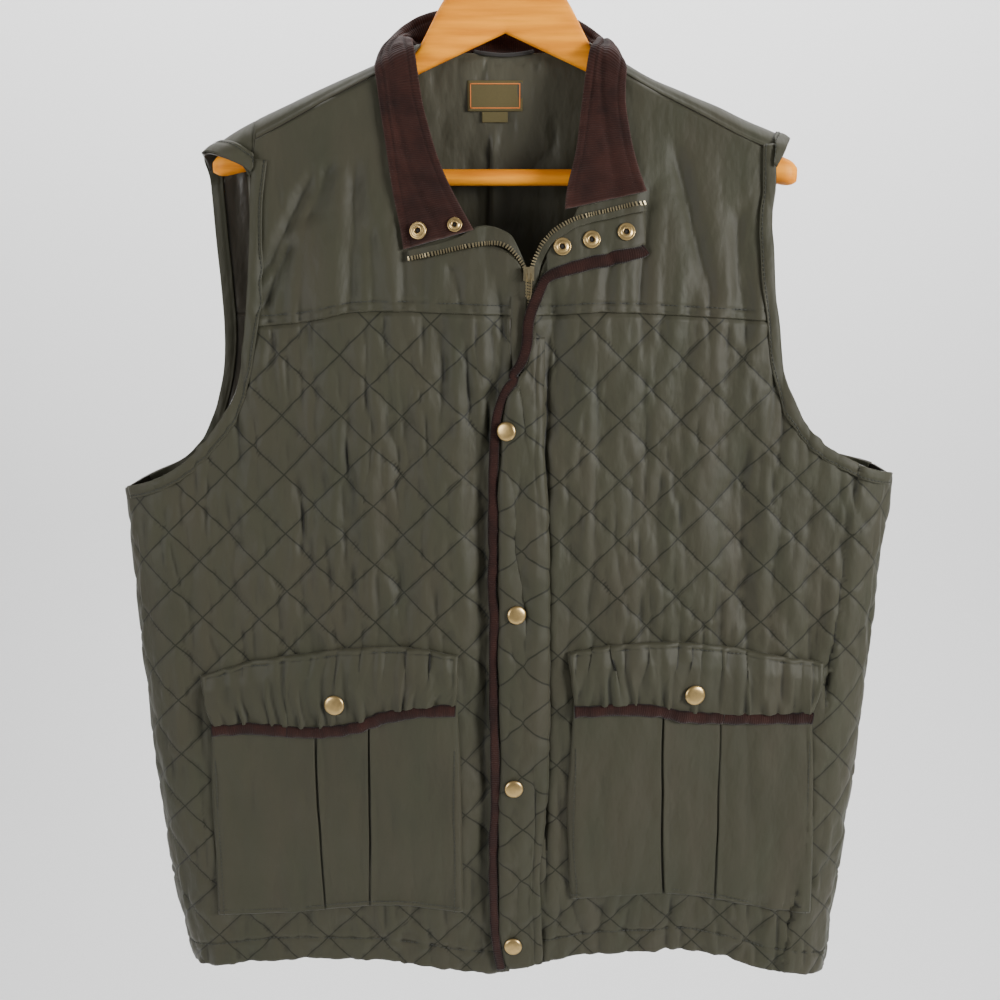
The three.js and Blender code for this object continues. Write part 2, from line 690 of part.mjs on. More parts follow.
function placket() {
  const [foot, head] = [-862, -340];
  const levels = [foot];
  for (let z = PLACKET_CAPS[3][1]; z < head - 10; z += CAP_STEP) levels.push(z);
  levels.push(head);
  const cols = 4;
  const half = 4;            // half width of the piping
  const wall = 1.6;
  const edge = PIPING_PATH.filter(([, z]) => z < -330).map(([x, z]) => [z, x]);
  const seam = PLACKET_EDGE.map(([x, z]) => [z, x]);
  const flat = (i, j) => {
    const z = levels[i];
    return [mix(curve(edge, z) + half + SEAM_GAP, curve(seam, z), j / cols), z];
  };
  const place = (i, j, t) => onBody(-1, ...flat(i, j), t);
  const top = (i, j) => {
    const [x, z] = flat(i, j);
    const clear = Math.min(...PLACKET_CAPS.map(([cx, cz]) => Math.hypot(x - cx, z - cz)));
    const rise = quiltRise(x, z, [14, -410]) * smooth((clear - 12) / 10);
    return ON_QUILT + wall + (j > 0 && j < cols ? rise : 0);
  };
  addMesh('placket', sheetGeometry(levels.length - 1, cols, place, ON_QUILT, top), OLIVE);
  patch('placket_top', OLIVE, -1, [
    [[31, -292.3], [45, -286.9], [59, -283.4], [77, -279.4], [94, -275.8], [105, -272]],
    [[34, -264.5], [52, -257.5], [75, -253], [103, -246.5]],
    [[31, -292.3], [31, -278], [34, -264.5]],
    [[105, -272], [104, -259], [103, -246.5]],
  ], [4, 10], ON_YOKE, ON_YOKE + WALL);
  const path = smoothPath(PIPING_PATH.map(([x, z]) => {
    const p = onBody(-1, x, z, mix(ON_QUILT, ON_YOKE, smooth((z + 318) / 12)) + PIPING.height / 2);
    return [p.x, p.y, p.z];
  }), 46);
  band('placket_piping', CORDUROY, path, PIPING.width, PIPING.height, 6, () => FORWARD);
}

// Pockets with an inverted box pleat, their flaps and the corduroy edge of each flap

const POCKETS = {
  left: {
    body: [[[-241, -822], [-183, -819], [-134, -812], [-90, -808], [-36, -813]],
      [[-237, -641], [-190, -639], [-134, -638], [-85, -626], [-39, -618]],
      [[-241, -822], [-241, -769], [-241, -709], [-237, -641]],
      [[-36, -813], [-36, -770], [-36, -700], [-39, -618]]],
    pleats: [-156, -112.5],
    flap: [[[-236, -651.5], [-200, -649.5], [-157, -651], [-122, -646], [-94, -635.5], [-68, -630], [-40, -628.5]],
      [[-246, -611], [-198, -596.5], [-150, -588], [-120, -583.5], [-92, -581.5], [-66, -583], [-37, -588.5]],
      [[-236, -651.5], [-242, -632], [-246, -611]],
      [[-40, -628.5], [-37, -610], [-37, -588.5]]],
    snap: [-135, -630],
  },
  right: {
    body: [[[55, -801], [95, -799.5], [135, -799], [177, -806], [215, -816], [257, -821.5]],
      [[55, -619], [92, -618], [130, -623], [175, -628], [211, -629], [249, -630]],
      [[55, -801], [52, -750], [52, -700], [55, -619]],
      [[257, -821.5], [256, -760], [254, -700], [249, -630]]],
    pleats: [132, 175],
    flap: [[[55, -630], [92, -629], [119, -631], [145, -637], [175, -639.5], [211, -640.5], [250, -641.5]],
      [[48, -587], [82, -580.5], [118, -578.5], [151, -580.5], [191, -587.5], [228, -595], [258, -601]],
      [[55, -630], [52, -610], [48, -587]],
      [[250, -641.5], [255, -622], [258, -601]]],
    snap: [150, -622],
  },
};
const POCKET_WALL = 2.8;
const PLEAT_DEPTH = 1.2;
const FLAP_LOW = ON_QUILT + POCKET_WALL + SEAM_GAP;

function pockets() {
  for (const [key, pocket] of Object.entries(POCKETS)) {
    const flat = coons(...pocket.body);
    const [p0, p1] = pocket.pleats;
    const x0 = pocket.body[0][0][0];
    const wide = pocket.body[0][pocket.body[0].length - 1][0] - x0;
    const at = (x) => (x - x0) / wide;
    const lip = 1.2 / wide;
    const marks = [0, 0.05, 0.1, 0.19, at(p0) - lip, at(p0), mix(at(p0), at(p1), 0.5),
      at(p1), at(p1) + lip, mix(at(p1), 0.9, 0.5), 0.9, 0.95, 1];
    const sunk = (j) => j >= 5 && j <= 7;
    const rows = 8;
    const place = (i, j, t) => {
      const [x, z] = flat(marks[j], i / rows);
      return onBody(-1, x, z, t);
    };
    const top = (i, j) => ON_QUILT + POCKET_WALL - (sunk(j) ? PLEAT_DEPTH : 0);
    const geometry = sheetGeometry(rows, marks.length - 1, place, ON_QUILT, top);
    addMesh(`pocket_${key}`, geometry, OLIVE);
    const flapLow = (i) => mix(FLAP_LOW, ON_QUILT, smooth(i - 2));
    patch(`flap_${key}`, OLIVE, -1, pocket.flap, [3, 14], flapLow, (i) => flapLow(i) + WALL);
    const lower = pocket.flap[0].map(([x, z]) => {
      const p = onBody(-1, x, z - FLAP_EDGE.width / 2 - 0.2, FLAP_LOW + FLAP_EDGE.height / 2);
      return [p.x, p.y, p.z];
    });
    const edge = smoothPath(lower, 22);
    band(`flap_binding_${key}`, CORDUROY, edge, FLAP_EDGE.width, FLAP_EDGE.height, 6, () => FORWARD);
  }
}

// The same flat line moved inward by a distance
function inset(line, side, distance) {
  return line.map((p, i) => {
    const a = line[Math.max(0, i - 1)];
    const b = line[Math.min(line.length - 1, i + 1)];
    const run = b.clone().sub(a).normalize();
    return [p.x + side * run.z * distance, p.z - side * run.x * distance];
  });
}

// Self bindings round the armholes
function armholeBindings() {
  const width = 10;
  const thick = 1.2;
  const nudge = 0.2;
  const over = (z) => mix(ON_QUILT, ON_YOKE + 0.15, smooth((z + 345) / 18));
  for (const [key, side] of [['left', -1], ['right', 1]]) {
    const flatEdge = ARMHOLE_FRONT[key];
    const line = smoothPath(flatEdge.map(([x, z]) => [roundFromX(x, z), 0, z]), 26);
    const inner = inset(line, side, width);
    const place = (i, j, t) => {
      const [x, z] = j ? inner[i] : [line[i].x + side * nudge, line[i].z];
      return onBody(-1, x, z, over(z) + 0.5 * smooth((Math.abs(x) - 265) / 20) + t);
    };
    addMesh(`armhole_binding_front_${key}`, sheetGeometry(line.length - 1, 1, place, 0, thick), OLIVE);
    const backEdge = ARMHOLE_BACK[key];
    const cap = key === 'left'
      ? [[-189, 15], [-206, 9], [-226, 1], [-232, -13]]
      : [[201, 15], [209, 8], [215, 0], [216.5, -13]];
    const low = backEdge.map(([x, z]) => [roundFromX(x, z), alongBack(x, z)]);
    const whole = smoothPath([...cap, ...low].map(([x, w]) => [x, 0, w]), 30);
    const innerBack = inset(whole, side, width);
    const placeBack = (i, j, t) => {
      const [x, w] = j ? innerBack[i] : [whole[i].x + side * nudge, whole[i].z];
      const seamW = alongBack(x, YOKE_Z);
      const quilt = smooth((seamW + 12 - w) / 12);
      const bend = 0.9 * smooth((w + 50) / 25) + 0.5 * smooth((Math.abs(x) - 265) / 20);
      const lift = mix(ON_YOKE, ON_QUILT, quilt) + bend;
      return onShoulder(x, w, lift + t);
    };
    addMesh(`armhole_binding_back_${key}`, sheetGeometry(whole.length - 1, 1, placeBack, 0, thick), OLIVE);
  }
}

// Zip: two tapes, closed below the slider and turned out above it

const ZIP = {
  left: [[-75, -281], [-52, -277.5], [-28, -272.5], [-12, -270], [0, -273], [8.5, -280.5], [13.6, -288.5], [14.8, -297],
    [12.5, -304], [9.5, -314], [8.2, -326], [8.2, -400], [8.2, -600], [8.2, -760], [8.2, -862]],
  right: [[103, -242.5], [75, -248.5], [50, -253.5], [37, -258.5], [28, -264], [23, -275], [21.2, -288],
    [20.6, -297], [19.1, -304], [16.1, -314], [14.8, -326], [14.8, -400], [14.8, -600], [14.8, -760],
    [14.8, -862]],
};
// Turned-out ends of the tapes: height over the body, x where they start to rise, run of the rise
const ZIP_TURN = { left: [4, 12, -10], right: [6, 21.5, 6] };
const SLIDER = [17.4, -293];

function zip() {
  for (const [key, list] of Object.entries(ZIP)) {
    const path = smoothPath(list.map(([x, z]) => {
      const [height, start, rise] = ZIP_TURN[key];
      const turned = smooth((x - start) / rise) * smooth((z + 305) / 10);
      const p = onBody(-1, x, z, mix(1.2, height, turned));
      return [p.x, p.y, p.z];
    }), 34);
    band(`zip_tape_${key}`, TAPE, path, 6, 1.2, 4, () => FORWARD);
  }
}

// Snaps

const SNAP_SEGMENTS = 12;

function snapOn(name, profile, segments, [x, z], t) {
  const centre = onBody(-1, x, z, t);
  const normal = onBody(-1, x, z, t + 1).sub(centre).normalize();
  turned(name, BRASS, centre, normal, profile, segments);
}

function snaps() {
  const cap = [[0, 0], [7.5, 0], [7.5, 1], [6, 2.2], [0, 3]];
  PLACKET_CAPS.forEach((place, i) => {
    const lift = i ? 2.3 : 3.6;
    snapOn(`snap_cap_${i + 1}`, cap, SNAP_SEGMENTS, place, ON_QUILT + lift);
  });
  for (const [key, pocket] of Object.entries(POCKETS)) {
    snapOn(`snap_cap_pocket_${key}`, cap, SNAP_SEGMENTS, pocket.snap, FLAP_LOW + WALL + 0.4);
  }
  const ring = [[2, 0], [7, 0], [7, 1], [5, 2.4], [3, 2.4], [2, 0]];
  const sockets = [[-63, -263, 7.1], [-37, -259, 7.1], [42, -274, 5.6], [64, -269, 5.6], [90, -263.5, 5.6]];
  sockets.forEach(([x, z, t], i) => snapOn(`snap_socket_${i + 1}`, ring, SNAP_SEGMENTS, [x, z], t));
}

// Wooden hanger with its trouser bar, and the steel hook

function hanger() {
  const arms = [
    // x, top, bottom, half thickness
    [-223, -211, -221, 4], [-219, -206, -225, 9], [-205, -200, -226, 12], [-185, -191, -222, 12],
    [-150, -173, -196, 10.5], [-100, -149, -166, 8.5], [-80, -138, -154, 7.5], [-67, -129, -146, 7.2],
    [-45, -92, -131, 7.2],
    [-20, -68, -119, 7], [0, -62, -115, 7],
  ];
  const all = [...arms, ...arms.slice(0, -1).reverse().map(([x, ...rest]) => [-x, ...rest])];
  const barRadius = 6.2;
  const barZ = -220.5;
  const holeRadius = 2.3;
  const circle = (point) => Array.from({ length: 12 }, (_, k) => {
    const turn = k * Math.PI / 6;
    return new THREE.Vector3(...point(Math.cos(turn), Math.sin(turn)));
  });
  const rings = all.map(([x, top, bottom, half]) => (
    circle((c, s) => [x, half * c, mix(bottom, top, 0.5 + 0.5 * s)])));
  const bar = [-195, 195].map((x) => circle((c, s) => [x, barRadius * c, barZ + barRadius * s]));
  const hole = [-75, -40].map((z) => circle((c, s) => [holeRadius * c, holeRadius * s, z]));
  const wood = toManifold(loftGeometry(rings)).add(toManifold(loftGeometry(bar)))
    .subtract(toManifold(loftGeometry(hole)));
  addMesh('hanger', fromManifold(wood), WOOD);
  const wire = 2;            // radius of the hook's wire
  const bend = 20 + wire;
  const path = [];
  const steps = 12;
  for (let i = 0; i <= steps; i += 1) {
    const turn = THREE.MathUtils.degToRad(200 - i * 245 / steps);
    path.push([bend * Math.cos(turn), 0, wire - bend + bend * Math.sin(turn)]);
  }
  path.push([5, 0, -45], [0.5, 0, -52], [0, 0, -60], [0, 0, -74]);
  band('hook', STEEL, smoothPath(path, 28), 2 * wire, 2 * wire, 8, () => new THREE.Vector3(0, 1, 0));
}

// Label, size tab and hanging loop inside the neck

function neckTrim() {
  const box = (x0, x1, z0, z1) => [
    [[x0, z0], [x1, z0]],
    [[x0, z1], [x1, z1]],
    [[x0, z0], [x0, z1]],
    [[x1, z0], [x1, z1]],
  ];
  patch('neck_label', LABEL, 1, box(-29, 13.5, -170, -148), [2, 4], ...LABEL_DEPTH);
  patch('size_tab', LABEL, 1, box(-18, 2, -178, -170.4), [1, 2], ...LABEL_DEPTH);
  const loop = smoothPath([[-19, 12, -134], [-12, 9.5, -138], [0, 9, -140], [10, 9.5, -138], [16, 12, -134]], 9);
  band('hanging_loop', CORDUROY, loop, 5, 1.4, 4, () => new THREE.Vector3(0, -1, 0.3));
}

// Slider with its bridge, and the pull whose head lies under the bridge
function slider() {
  const [x, z] = SLIDER;
  const face = onBody(-1, x, z, 2.7).y;
  const block = (w, d, h, y, dz) => {
    const box = new THREE.BoxGeometry(w, d, h);
    box.translate(x, face - y - d / 2, z + dz);
    return toManifold(weld(box));
  };
  const solid = block(8, 2.6, 10, 0, 0)
    .add(block(1.6, 3.6, 1.2, 2.2, 3))
    .add(block(1.6, 3.6, 1.2, 2.2, -3))
    .add(block(1.6, 1, 7.2, 5.2, 0));
  addMesh('zip_slider', fromManifold(solid), ZIP_METAL);
  const outline = [[-1.9, -1.4], [-1.3, -0.1], [1.3, -0.1], [1.9, -1.4], [1.9, -8], [1.7, -14], [1.1, -17.8],
    [0, -18.5], [-1.1, -17.8], [-1.7, -14], [-1.9, -8]];
  const loop = outline.map(([dx, dz]) => new THREE.Vector3(x + dx, face - 3.9, z + dz));
  const wire = 0.55;
  const rings = loop.map((p, i) => {
    const run = loop[(i + 1) % loop.length].clone().sub(loop.at(i - 1)).normalize();
    const across = new THREE.Vector3().crossVectors(run, FORWARD);
    return Array.from({ length: 6 }, (_, k) => p.clone()
      .addScaledVector(across, wire * Math.cos(k * Math.PI / 3))
      .addScaledVector(FORWARD, wire * Math.sin(k * Math.PI / 3)));
  });
  addMesh('zip_pull', loftGeometry(rings, true), ZIP_METAL);
}

frontPanels();
backPanel();
frontYokes();
backYoke();
backLining();
collar();
placket();
pockets();
armholeBindings();
zip();
snaps();
hanger();
neckTrim();
slider();

export default group;
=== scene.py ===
"""Looks of the quilted vest on its wooden hanger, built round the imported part."""
import math

import bpy
import numpy as np
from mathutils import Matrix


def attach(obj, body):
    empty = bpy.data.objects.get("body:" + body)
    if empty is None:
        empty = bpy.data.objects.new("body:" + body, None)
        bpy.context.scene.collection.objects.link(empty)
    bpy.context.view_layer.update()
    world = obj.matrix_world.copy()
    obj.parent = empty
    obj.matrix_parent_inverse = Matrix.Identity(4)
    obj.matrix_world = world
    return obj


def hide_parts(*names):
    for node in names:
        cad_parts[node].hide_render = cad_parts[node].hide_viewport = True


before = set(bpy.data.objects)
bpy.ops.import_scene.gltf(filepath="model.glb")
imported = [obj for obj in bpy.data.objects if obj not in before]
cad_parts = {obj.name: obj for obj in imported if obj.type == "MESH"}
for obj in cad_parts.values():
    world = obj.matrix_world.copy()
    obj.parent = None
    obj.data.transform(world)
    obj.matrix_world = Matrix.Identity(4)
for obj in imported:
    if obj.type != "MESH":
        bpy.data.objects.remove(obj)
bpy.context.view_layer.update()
BODY = "vest_on_hanger"
MM = 0.001

# Cloth, in millimetres
WALL = 2.4
QUILT_PITCH = 46.6
ON_QUILT = 4.3
ON_YOKE = 2.7
SEAM_TUCK = 2.4
BINDING_LOW = 2.9
YOKE_Z = -325
HEM_BACK_Z = -884
FRONT_EDGE = 11.5
WIDEST = 326
PANEL_GAP = 6.8
LEVELS_OF_FRONT = (-322.0, -870.0)
CROSSINGS = {"left": (-149, -423), "right": (88.4, -403), "back": (0, -403), "placket": (14, -410)}
PADDING = 1.35
PUCKER = 0.5
SLACK = 1.25
QUILT_LOW = 0.8
QUILT_HIGH = 4.0
SEAM_LINE = 0.55
WALE_PITCH = 1.7

# Columns and rows of points of each cloth
GRID = {
    "front": (150, 240),
    "back": (176, 156),
    "yoke": (120, 88),
    "lining": (200, 90),
    "placket": (26, 240),
    "placket top": (60, 28),
    "pocket": (90, 90),
    "flap": (150, 50),
    "label": (24, 14),
}

# Camera: the height, pitch and lens that put every snap of the placket where the photo has it
CAMERA_AT = (-0.004, -0.868, -0.290)
CAMERA_PITCH = 12
CAMERA_LENS = 38.99

# Colours, linear
OLIVE = (0.0405, 0.043, 0.0255)
OLIVE_DARK = (0.023, 0.0265, 0.0155)
# Brownish tint of the olive's patches of painted sheen
OLIVE_SHEEN_TINT = (0.046, 0.0395, 0.026)
LINING = (0.074, 0.0695, 0.048)
# Back of the cloth: a darker copy of the lining, painted shade for the inside seen through the armholes
INNER_SHADED = (0.046, 0.040, 0.029)
INNER_SHADED_DARK = (0.026, 0.022, 0.016)
# Near black of the painted shade in creases
CREASE_SHADE = (0.002, 0.002, 0.0015)
CORDUROY = (0.0145, 0.0055, 0.0042)
CORDUROY_NAP = (0.041, 0.0136, 0.0096)
# Lighter pile on sharp edges: partly rubbed pile, partly painted highlight on the rims
CORDUROY_RUBBED_AND_LIT = (0.098, 0.055, 0.044)
BRASS = (0.60, 0.42, 0.18)
ZIP_METAL = (0.42, 0.35, 0.21)
STEEL = (0.62, 0.62, 0.63)
WOOD = (0.93, 0.345, 0.012)
WOOD_GRAIN = (0.62, 0.185, 0.005)
LABEL = (0.088, 0.069, 0.021)
LABEL_EDGE = (0.62, 0.17, 0.03)
THREAD = (0.026, 0.028, 0.021)
# Dark of the hanging loop, also used as painted shade at the bottom of the socket holes
LOOP_AND_HOLE_SHADE = (0.020, 0.018, 0.016)
PALE = (0.86, 0.86, 0.86)

# Section of the body by level: half widths, depth and crown
LEVELS = [
    # z, left, right, depth, front crown, back crown
    (-320, 306, 311, 30, 14, 5),
    (-460, 305, 311, 33, 16, 6),
    (-525, 303, 306, 35, 17, 7),
    (-600, 300, 302, 37, 17, 8),
    (-680, 297, 298, 39, 16, 8),
    (-750, 292, 293, 41, 14, 7),
    (-824, 284, 287, 43, 10, 6),
    (-900, 271, 282, 46, 6, 5),
]
RIDGE = [
    (-240, -209), (-217, -194), (-202, -185), (-157, -163.5), (-110, -143.5), (-95, -137),
    (-67, -124), (-40, -118), (0, -117), (40, -118), (67, -124), (90, -137.5), (110, -148),
    (149, -163.5), (187, -180), (208, -188.5), (217, -192.5), (230, -199),
]
# Folds of the front: foot and head of each trough, width and depth
FOLDS = [
    # x0, z0, x1, z1, width, depth
    (-85, -580, -80, -385, 15, 5.0),
    (187, -600, 183, -395, 14, 6.5),
    (-188, -306, -142, -212, 6, 5.0),
    (-190, -330, -158, -262, 5.5, 4.2),
    (-150, -262, -128, -205, 7, 3.6),
    (158, -325, 124, -185, 7, 5.0),
    (-118, -330, -112, -200, 6.5, 4.2),
    (-98, -328, -102, -250, 6, 2.8),
    (-72, -328, -80, -240, 6, 3.2),
    (72, -330, 80, -270, 6, 2.6),
    (100, -328, 110, -215, 6, 3.0),
    (182, -328, 174, -235, 6, 3.0),
    (-30, -325, -42, -280, 6, 2.8),
    (-121, -580, -123, -405, 8, 1.4),
    (-156, -585, -150, -430, 8, 1.1),
    (-52, -590, -58, -345, 9, 1.6),
    (-24, -610, -27, -350, 9, 2.0),
    (73, -590, 70, -345, 8, 1.2),
    (112, -575, 108, -380, 9, 1.3),
    (150, -560, 146, -400, 8, 1.2),
    (222, -600, 214, -440, 9, 1.5),
    (-222, -600, -214, -450, 10, 1.4),
    (-262, -640, -250, -490, 9, 1.2),
    (262, -660, 252, -500, 9, 1.3),
    (-171, -318, -160, -262, 7, 1.2),
    (-64, -316, -70, -215, 9, 1.3),
    (60, -318, 66, -235, 9, 1.2),
    (176, -316, 168, -238, 8, 1.3),
    (-16, -874, -15, -365, 9, 7.5),
    (-14, -440, 1, -284, 8, 6.5),
    (33, -430, 40, -292, 8, 6.5),
    (34.5, -868, 31.5, -330, 3, 3.6),
    (-26, -860, -28, -600, 8, 1.5),
]
# Where the pockets keep the cloth smooth: centre and half size
CALM = [(-138, -712, 112, 112), (155, -706, 112, 108)]
ARMHOLE_FRONT = {
    "left": [(-188.5, -208), (-190, -225), (-192, -240), (-193, -274), (-195, -309), (-198, -335),
             (-202, -359), (-209, -384), (-222, -406), (-236, -423), (-255, -440), (-278, -452),
             (-297, -458)],
    "right": [(203.5, -207), (204, -215), (203, -230), (201, -250), (202, -278), (204, -307), (207, -328),
              (212, -357), (220, -382), (230, -402), (249, -423), (270, -435), (288, -443), (304, -447)],
}
ARMHOLE_BACK = {
    "left": [(-233, -214), (-232, -236), (-231, -273), (-230, -310), (-230, -348), (-232, -368),
             (-236, -387), (-243, -407), (-254, -429), (-272, -446), (-297, -458)],
    "right": [(216, -205), (213, -236), (211, -273), (210, -310), (211, -348), (214, -368), (220, -387),
              (232, -407), (249, -425), (273, -439), (304, -447)],
}
UNDERARM = {"left": -462, "right": -452}
YOKE_SEAM = [(-205, -333), (-184, -332), (-146, -328), (-117, -322), (-81, -321), (-52, -322),
             (8, -324), (37, -324), (70, -322), (146, -325), (193, -328), (215, -329)]
HEM_FRONT = [(-330, -893), (-300, -886), (-249, -872), (-200, -865), (-155, -863), (-78, -863),
             (-55, -867), (-19, -873), (5, -870), (30, -863), (57, -857), (108, -854), (157, -855),
             (196, -865), (222, -874), (251, -879), (290, -890), (330, -893)]
SIDES = {"left": -1, "right": 1}


# Small mathematics

def mix(a, b, k):
    return a + (b - a) * k


def smooth(k):
    c = np.clip(k, 0, 1)
    return c * c * (3 - 2 * c)


def curve(table, x, column=1):
    """Value of a table at x by Hermite interpolation; the table runs up or down."""
    rows = np.array([[row[0], row[column]] for row in table], float)
    if rows[0, 0] > rows[-1, 0]:
        rows = rows[::-1]
    xs, ys = rows.T
    step = np.diff(xs)
    slope = np.diff(ys) / step
    m = np.concatenate([slope[:1], (slope[1:] + slope[:-1]) / 2, slope[-1:]])
    i = np.clip(np.searchsorted(xs, x) - 1, 0, len(xs) - 2)
    k = np.clip((x - xs[i]) / step[i], 0, 1)
    k2, k3 = k * k, k * k * k
    low = ys[i] * (2 * k3 - 3 * k2 + 1) + step[i] * m[i] * (k3 - 2 * k2 + k)
    return low + ys[i + 1] * (3 * k2 - 2 * k3) + step[i] * m[i + 1] * (k3 - k2)


def noise(x, y, seed):
    """Smooth lattice noise from -1 to 1, one cell to a unit."""
    table = np.random.default_rng(seed).uniform(-1, 1, (64, 64))
    i, j = np.floor(x).astype(int), np.floor(y).astype(int)
    u, v = smooth(x - i), smooth(y - j)
    a, b = table[i % 64, j % 64], table[(i + 1) % 64, j % 64]
    c, d = table[i % 64, (j + 1) % 64], table[(i + 1) % 64, (j + 1) % 64]
    return mix(mix(a, b, u), mix(c, d, u), v)


def steps_along(points):
    """Distance of each point from the first, along the line."""
    return np.concatenate([[0], np.cumsum(np.linalg.norm(np.diff(points, axis=0), axis=1))])


def sampled(values, run, at):
    """Each column of values, known along run, read at other places."""
    return np.stack([np.interp(at, run, column) for column in values.T], axis=1)


def spline(points, count):
    """count points at even steps along a smooth line through a short list."""
    pts = np.array(points, float)
    at = steps_along(pts)
    fine = np.linspace(0, at[-1], count * 4)
    line = np.stack([curve(list(zip(at, column)), fine) for column in pts.T], axis=1)
    run = steps_along(line)
    return sampled(line, run, np.linspace(0, run[-1], count))


def unit_grid(form):
    """Places from 0 to 1 across and down a cloth."""
    cols, rows = GRID[form]
    return np.meshgrid(np.linspace(0, 1, cols), np.linspace(0, 1, rows))


def length_of(points):
    return float(np.linalg.norm(np.diff(np.array(points, float), axis=0), axis=1).sum())


def unit(v):
    return v / np.maximum(np.linalg.norm(v, axis=-1, keepdims=True), 1e-9)


# Form of the vest

def ridge(x):
    return curve(RIDGE, x) - WALL


def shoulder_radius(x):
    return 13 + 9 * np.maximum(0, np.abs(x) - 67) / 160


def section(s, z):
    """Half width, depth and the two crowns at a level."""
    zc = np.clip(z, -900, -320)
    half = np.where(s < 0, curve(LEVELS, zc, 1), curve(LEVELS, zc, 2))
    return half, curve(LEVELS, zc, 3), curve(LEVELS, zc, 4), curve(LEVELS, zc, 5)


def side_seam(side, z):
    half, depth, _, _ = section(np.full_like(z, side, dtype=float), z)
    return side * (half - depth + depth * math.pi / 2)


def round_from_x(x, z):
    """Place round the section of a point seen from the front."""
    x, z = np.asarray(x, float), np.asarray(z, float)
    half, depth, _, _ = section(x, z)
    flat = half - depth
    over = np.maximum(np.abs(x) - flat, 0)
    return np.where(over > 0, np.sign(x) * (flat + depth * np.arcsin(np.minimum(1, over / depth))), x)


def round_section(table):
    """A table of x and z turned into places round the section."""
    return [(float(round_from_x(x, z)), z) for x, z in table]


def fold_depth(x, z):
    total = np.zeros_like(x)
    for x0, z0, x1, z1, width, depth in FOLDS:
        k = (z - z0) / (z1 - z0)
        along = smooth(k * 4) * smooth((1 - k) * 4)
        total += depth * along * np.exp(-((x - mix(x0, x1, k)) / width) ** 2)
    return total


def ripples(x, z, seed=30):
    """Soft upright folds all over, strongest beside the yoke seams, calm under the pockets."""
    drift = 9 * noise(x / 90, z / 70, seed)
    wave = noise((x + drift) / 10.5, z / 80, seed + 1) + 0.55 * noise((x - drift) / 5.5, z / 42, seed + 2)
    amount = 1.3 + 0.75 * np.exp(-np.abs(z - YOKE_Z + 12) / 55) - 0.75 * smooth((z - YOKE_Z) / 25)
    for x0, z0, wide, high in CALM:
        calm = smooth((wide - np.abs(x - x0)) / 18) * smooth((high - np.abs(z - z0)) / 18)
        amount = amount * (1 - 0.68 * calm)
    wave += 0.8 * noise((x + drift) / 21, z / 150, seed + 3)
    return (wave - 0.9 * creases(x + drift, z)) * amount * smooth((-195 - z) / 30)


def creases(x, z):
    """Narrow upright wrinkles where the cloth has been crushed, in patches."""
    sharp = np.exp(-(noise(x / 20, z / 170, 41) / 0.3) ** 2)
    sharp = sharp + np.exp(-(noise(x / 26 + z / 220, z / 130, 42) / 0.22) ** 2)
    return sharp * smooth(0.4 + 1.3 * noise(x / 45, z / 60, 43))


def base_point(face, s, z):
    """Point of the wall's inner surface: s round the section, z the level, face -1 front or 1 back."""
    s, z = np.broadcast_arrays(np.asarray(s, float), np.asarray(z, float))
    half, depth, front_crown, back_crown = section(s, z)
    flat = half - depth
    a = np.abs(s)
    crown = front_crown if face < 0 else back_crown
    top, r = ridge(s), shoulder_radius(s)
    full = depth + crown * (1 - np.minimum(1, (a / flat) ** 2)) ** 2
    arc = np.sqrt(np.maximum(0, r * r - (z - top + r) ** 2))
    fall = mix(r, full, smooth((top - r - z) / (top - r - YOKE_Z)))
    y = np.where(z > top - r, arc, np.where(z > YOKE_Z, fall, full))
    if face < 0:
        y = y - fold_depth(s, z) + ripples(s, z)
    else:
        y = y + ripples(s, z, 60)
    turn = (a - flat) / depth
    bend = (a > flat) & (z < YOKE_Z)
    x = np.where(bend, np.sign(s) * (flat + depth * np.sin(turn)), s)
    y = np.where(bend, depth * np.cos(turn), y)
    return np.stack([x, face * y, z], axis=-1)


def on_body(face, s, z, t):
    """Point at a distance t outside the wall's inner surface."""
    s, z, t = np.broadcast_arrays(np.asarray(s, float), np.asarray(z, float), np.asarray(t, float))
    e = 1.5
    p = base_point(face, s, z)
    du = base_point(face, s + e, z) - base_point(face, s - e, z)
    dv = p - base_point(face, s, z - e)
    return p + unit(np.cross(du, dv) * -face) * t[..., None]


def shoulder_base(x, w):
    r = shoulder_radius(x)
    quarter = r * math.pi / 2
    centre = ridge(x) - r
    fall = centre - np.abs(w) + quarter
    arc = np.stack([x, -r * np.sin(w / r), centre + r * np.cos(w / r)], axis=-1)
    flat = np.where((w > 0)[..., None], base_point(-1, x, fall), base_point(1, x, fall))
    return np.where((np.abs(w) > quarter)[..., None], flat, arc)


def on_shoulder(x, w, t):
    """Point over the shoulder: w along the cloth from the ridge, positive to the front."""
    x, w, t = np.broadcast_arrays(np.asarray(x, float), np.asarray(w, float), np.asarray(t, float))
    e = 1.5
    du = shoulder_base(x + e, w) - shoulder_base(x - e, w)
    dw = shoulder_base(x, w + e) - shoulder_base(x, w - e)
    return shoulder_base(x, w) + unit(np.cross(dw, du)) * t[..., None]


def seam_drop(x):
    return mix(8.5, 15, smooth((np.abs(x) - 95) / 90))


def along_back(x, z):
    r = shoulder_radius(x)
    return -(r * math.pi / 2 + ridge(x) - r - z)


# Relief of the cloth

def seam_distance(s, z, crossing):
    """Distance to the nearest line of the quilting, and the distances to the two sets of lines."""
    a = (s - crossing[0] + z - crossing[1]) / QUILT_PITCH
    b = (s - crossing[0] - z + crossing[1]) / QUILT_PITCH
    per_line = QUILT_PITCH / math.sqrt(2)
    da, db = np.abs(a - np.round(a)) * per_line, np.abs(b - np.round(b)) * per_line
    return np.minimum(da, db), da, db


def squeeze(s, edge, side, run=7):
    """Columns of a panel, kept upright and pressed together only along its outer edge."""
    over = np.maximum(side * (s - edge) + run, 0) / run
    last = over.max(axis=1, keepdims=True)
    pressed = run * (1 - np.exp(-over)) / np.maximum(1 - np.exp(-last), 1e-6)
    return np.where(over > 0, edge + side * (pressed - run), s)


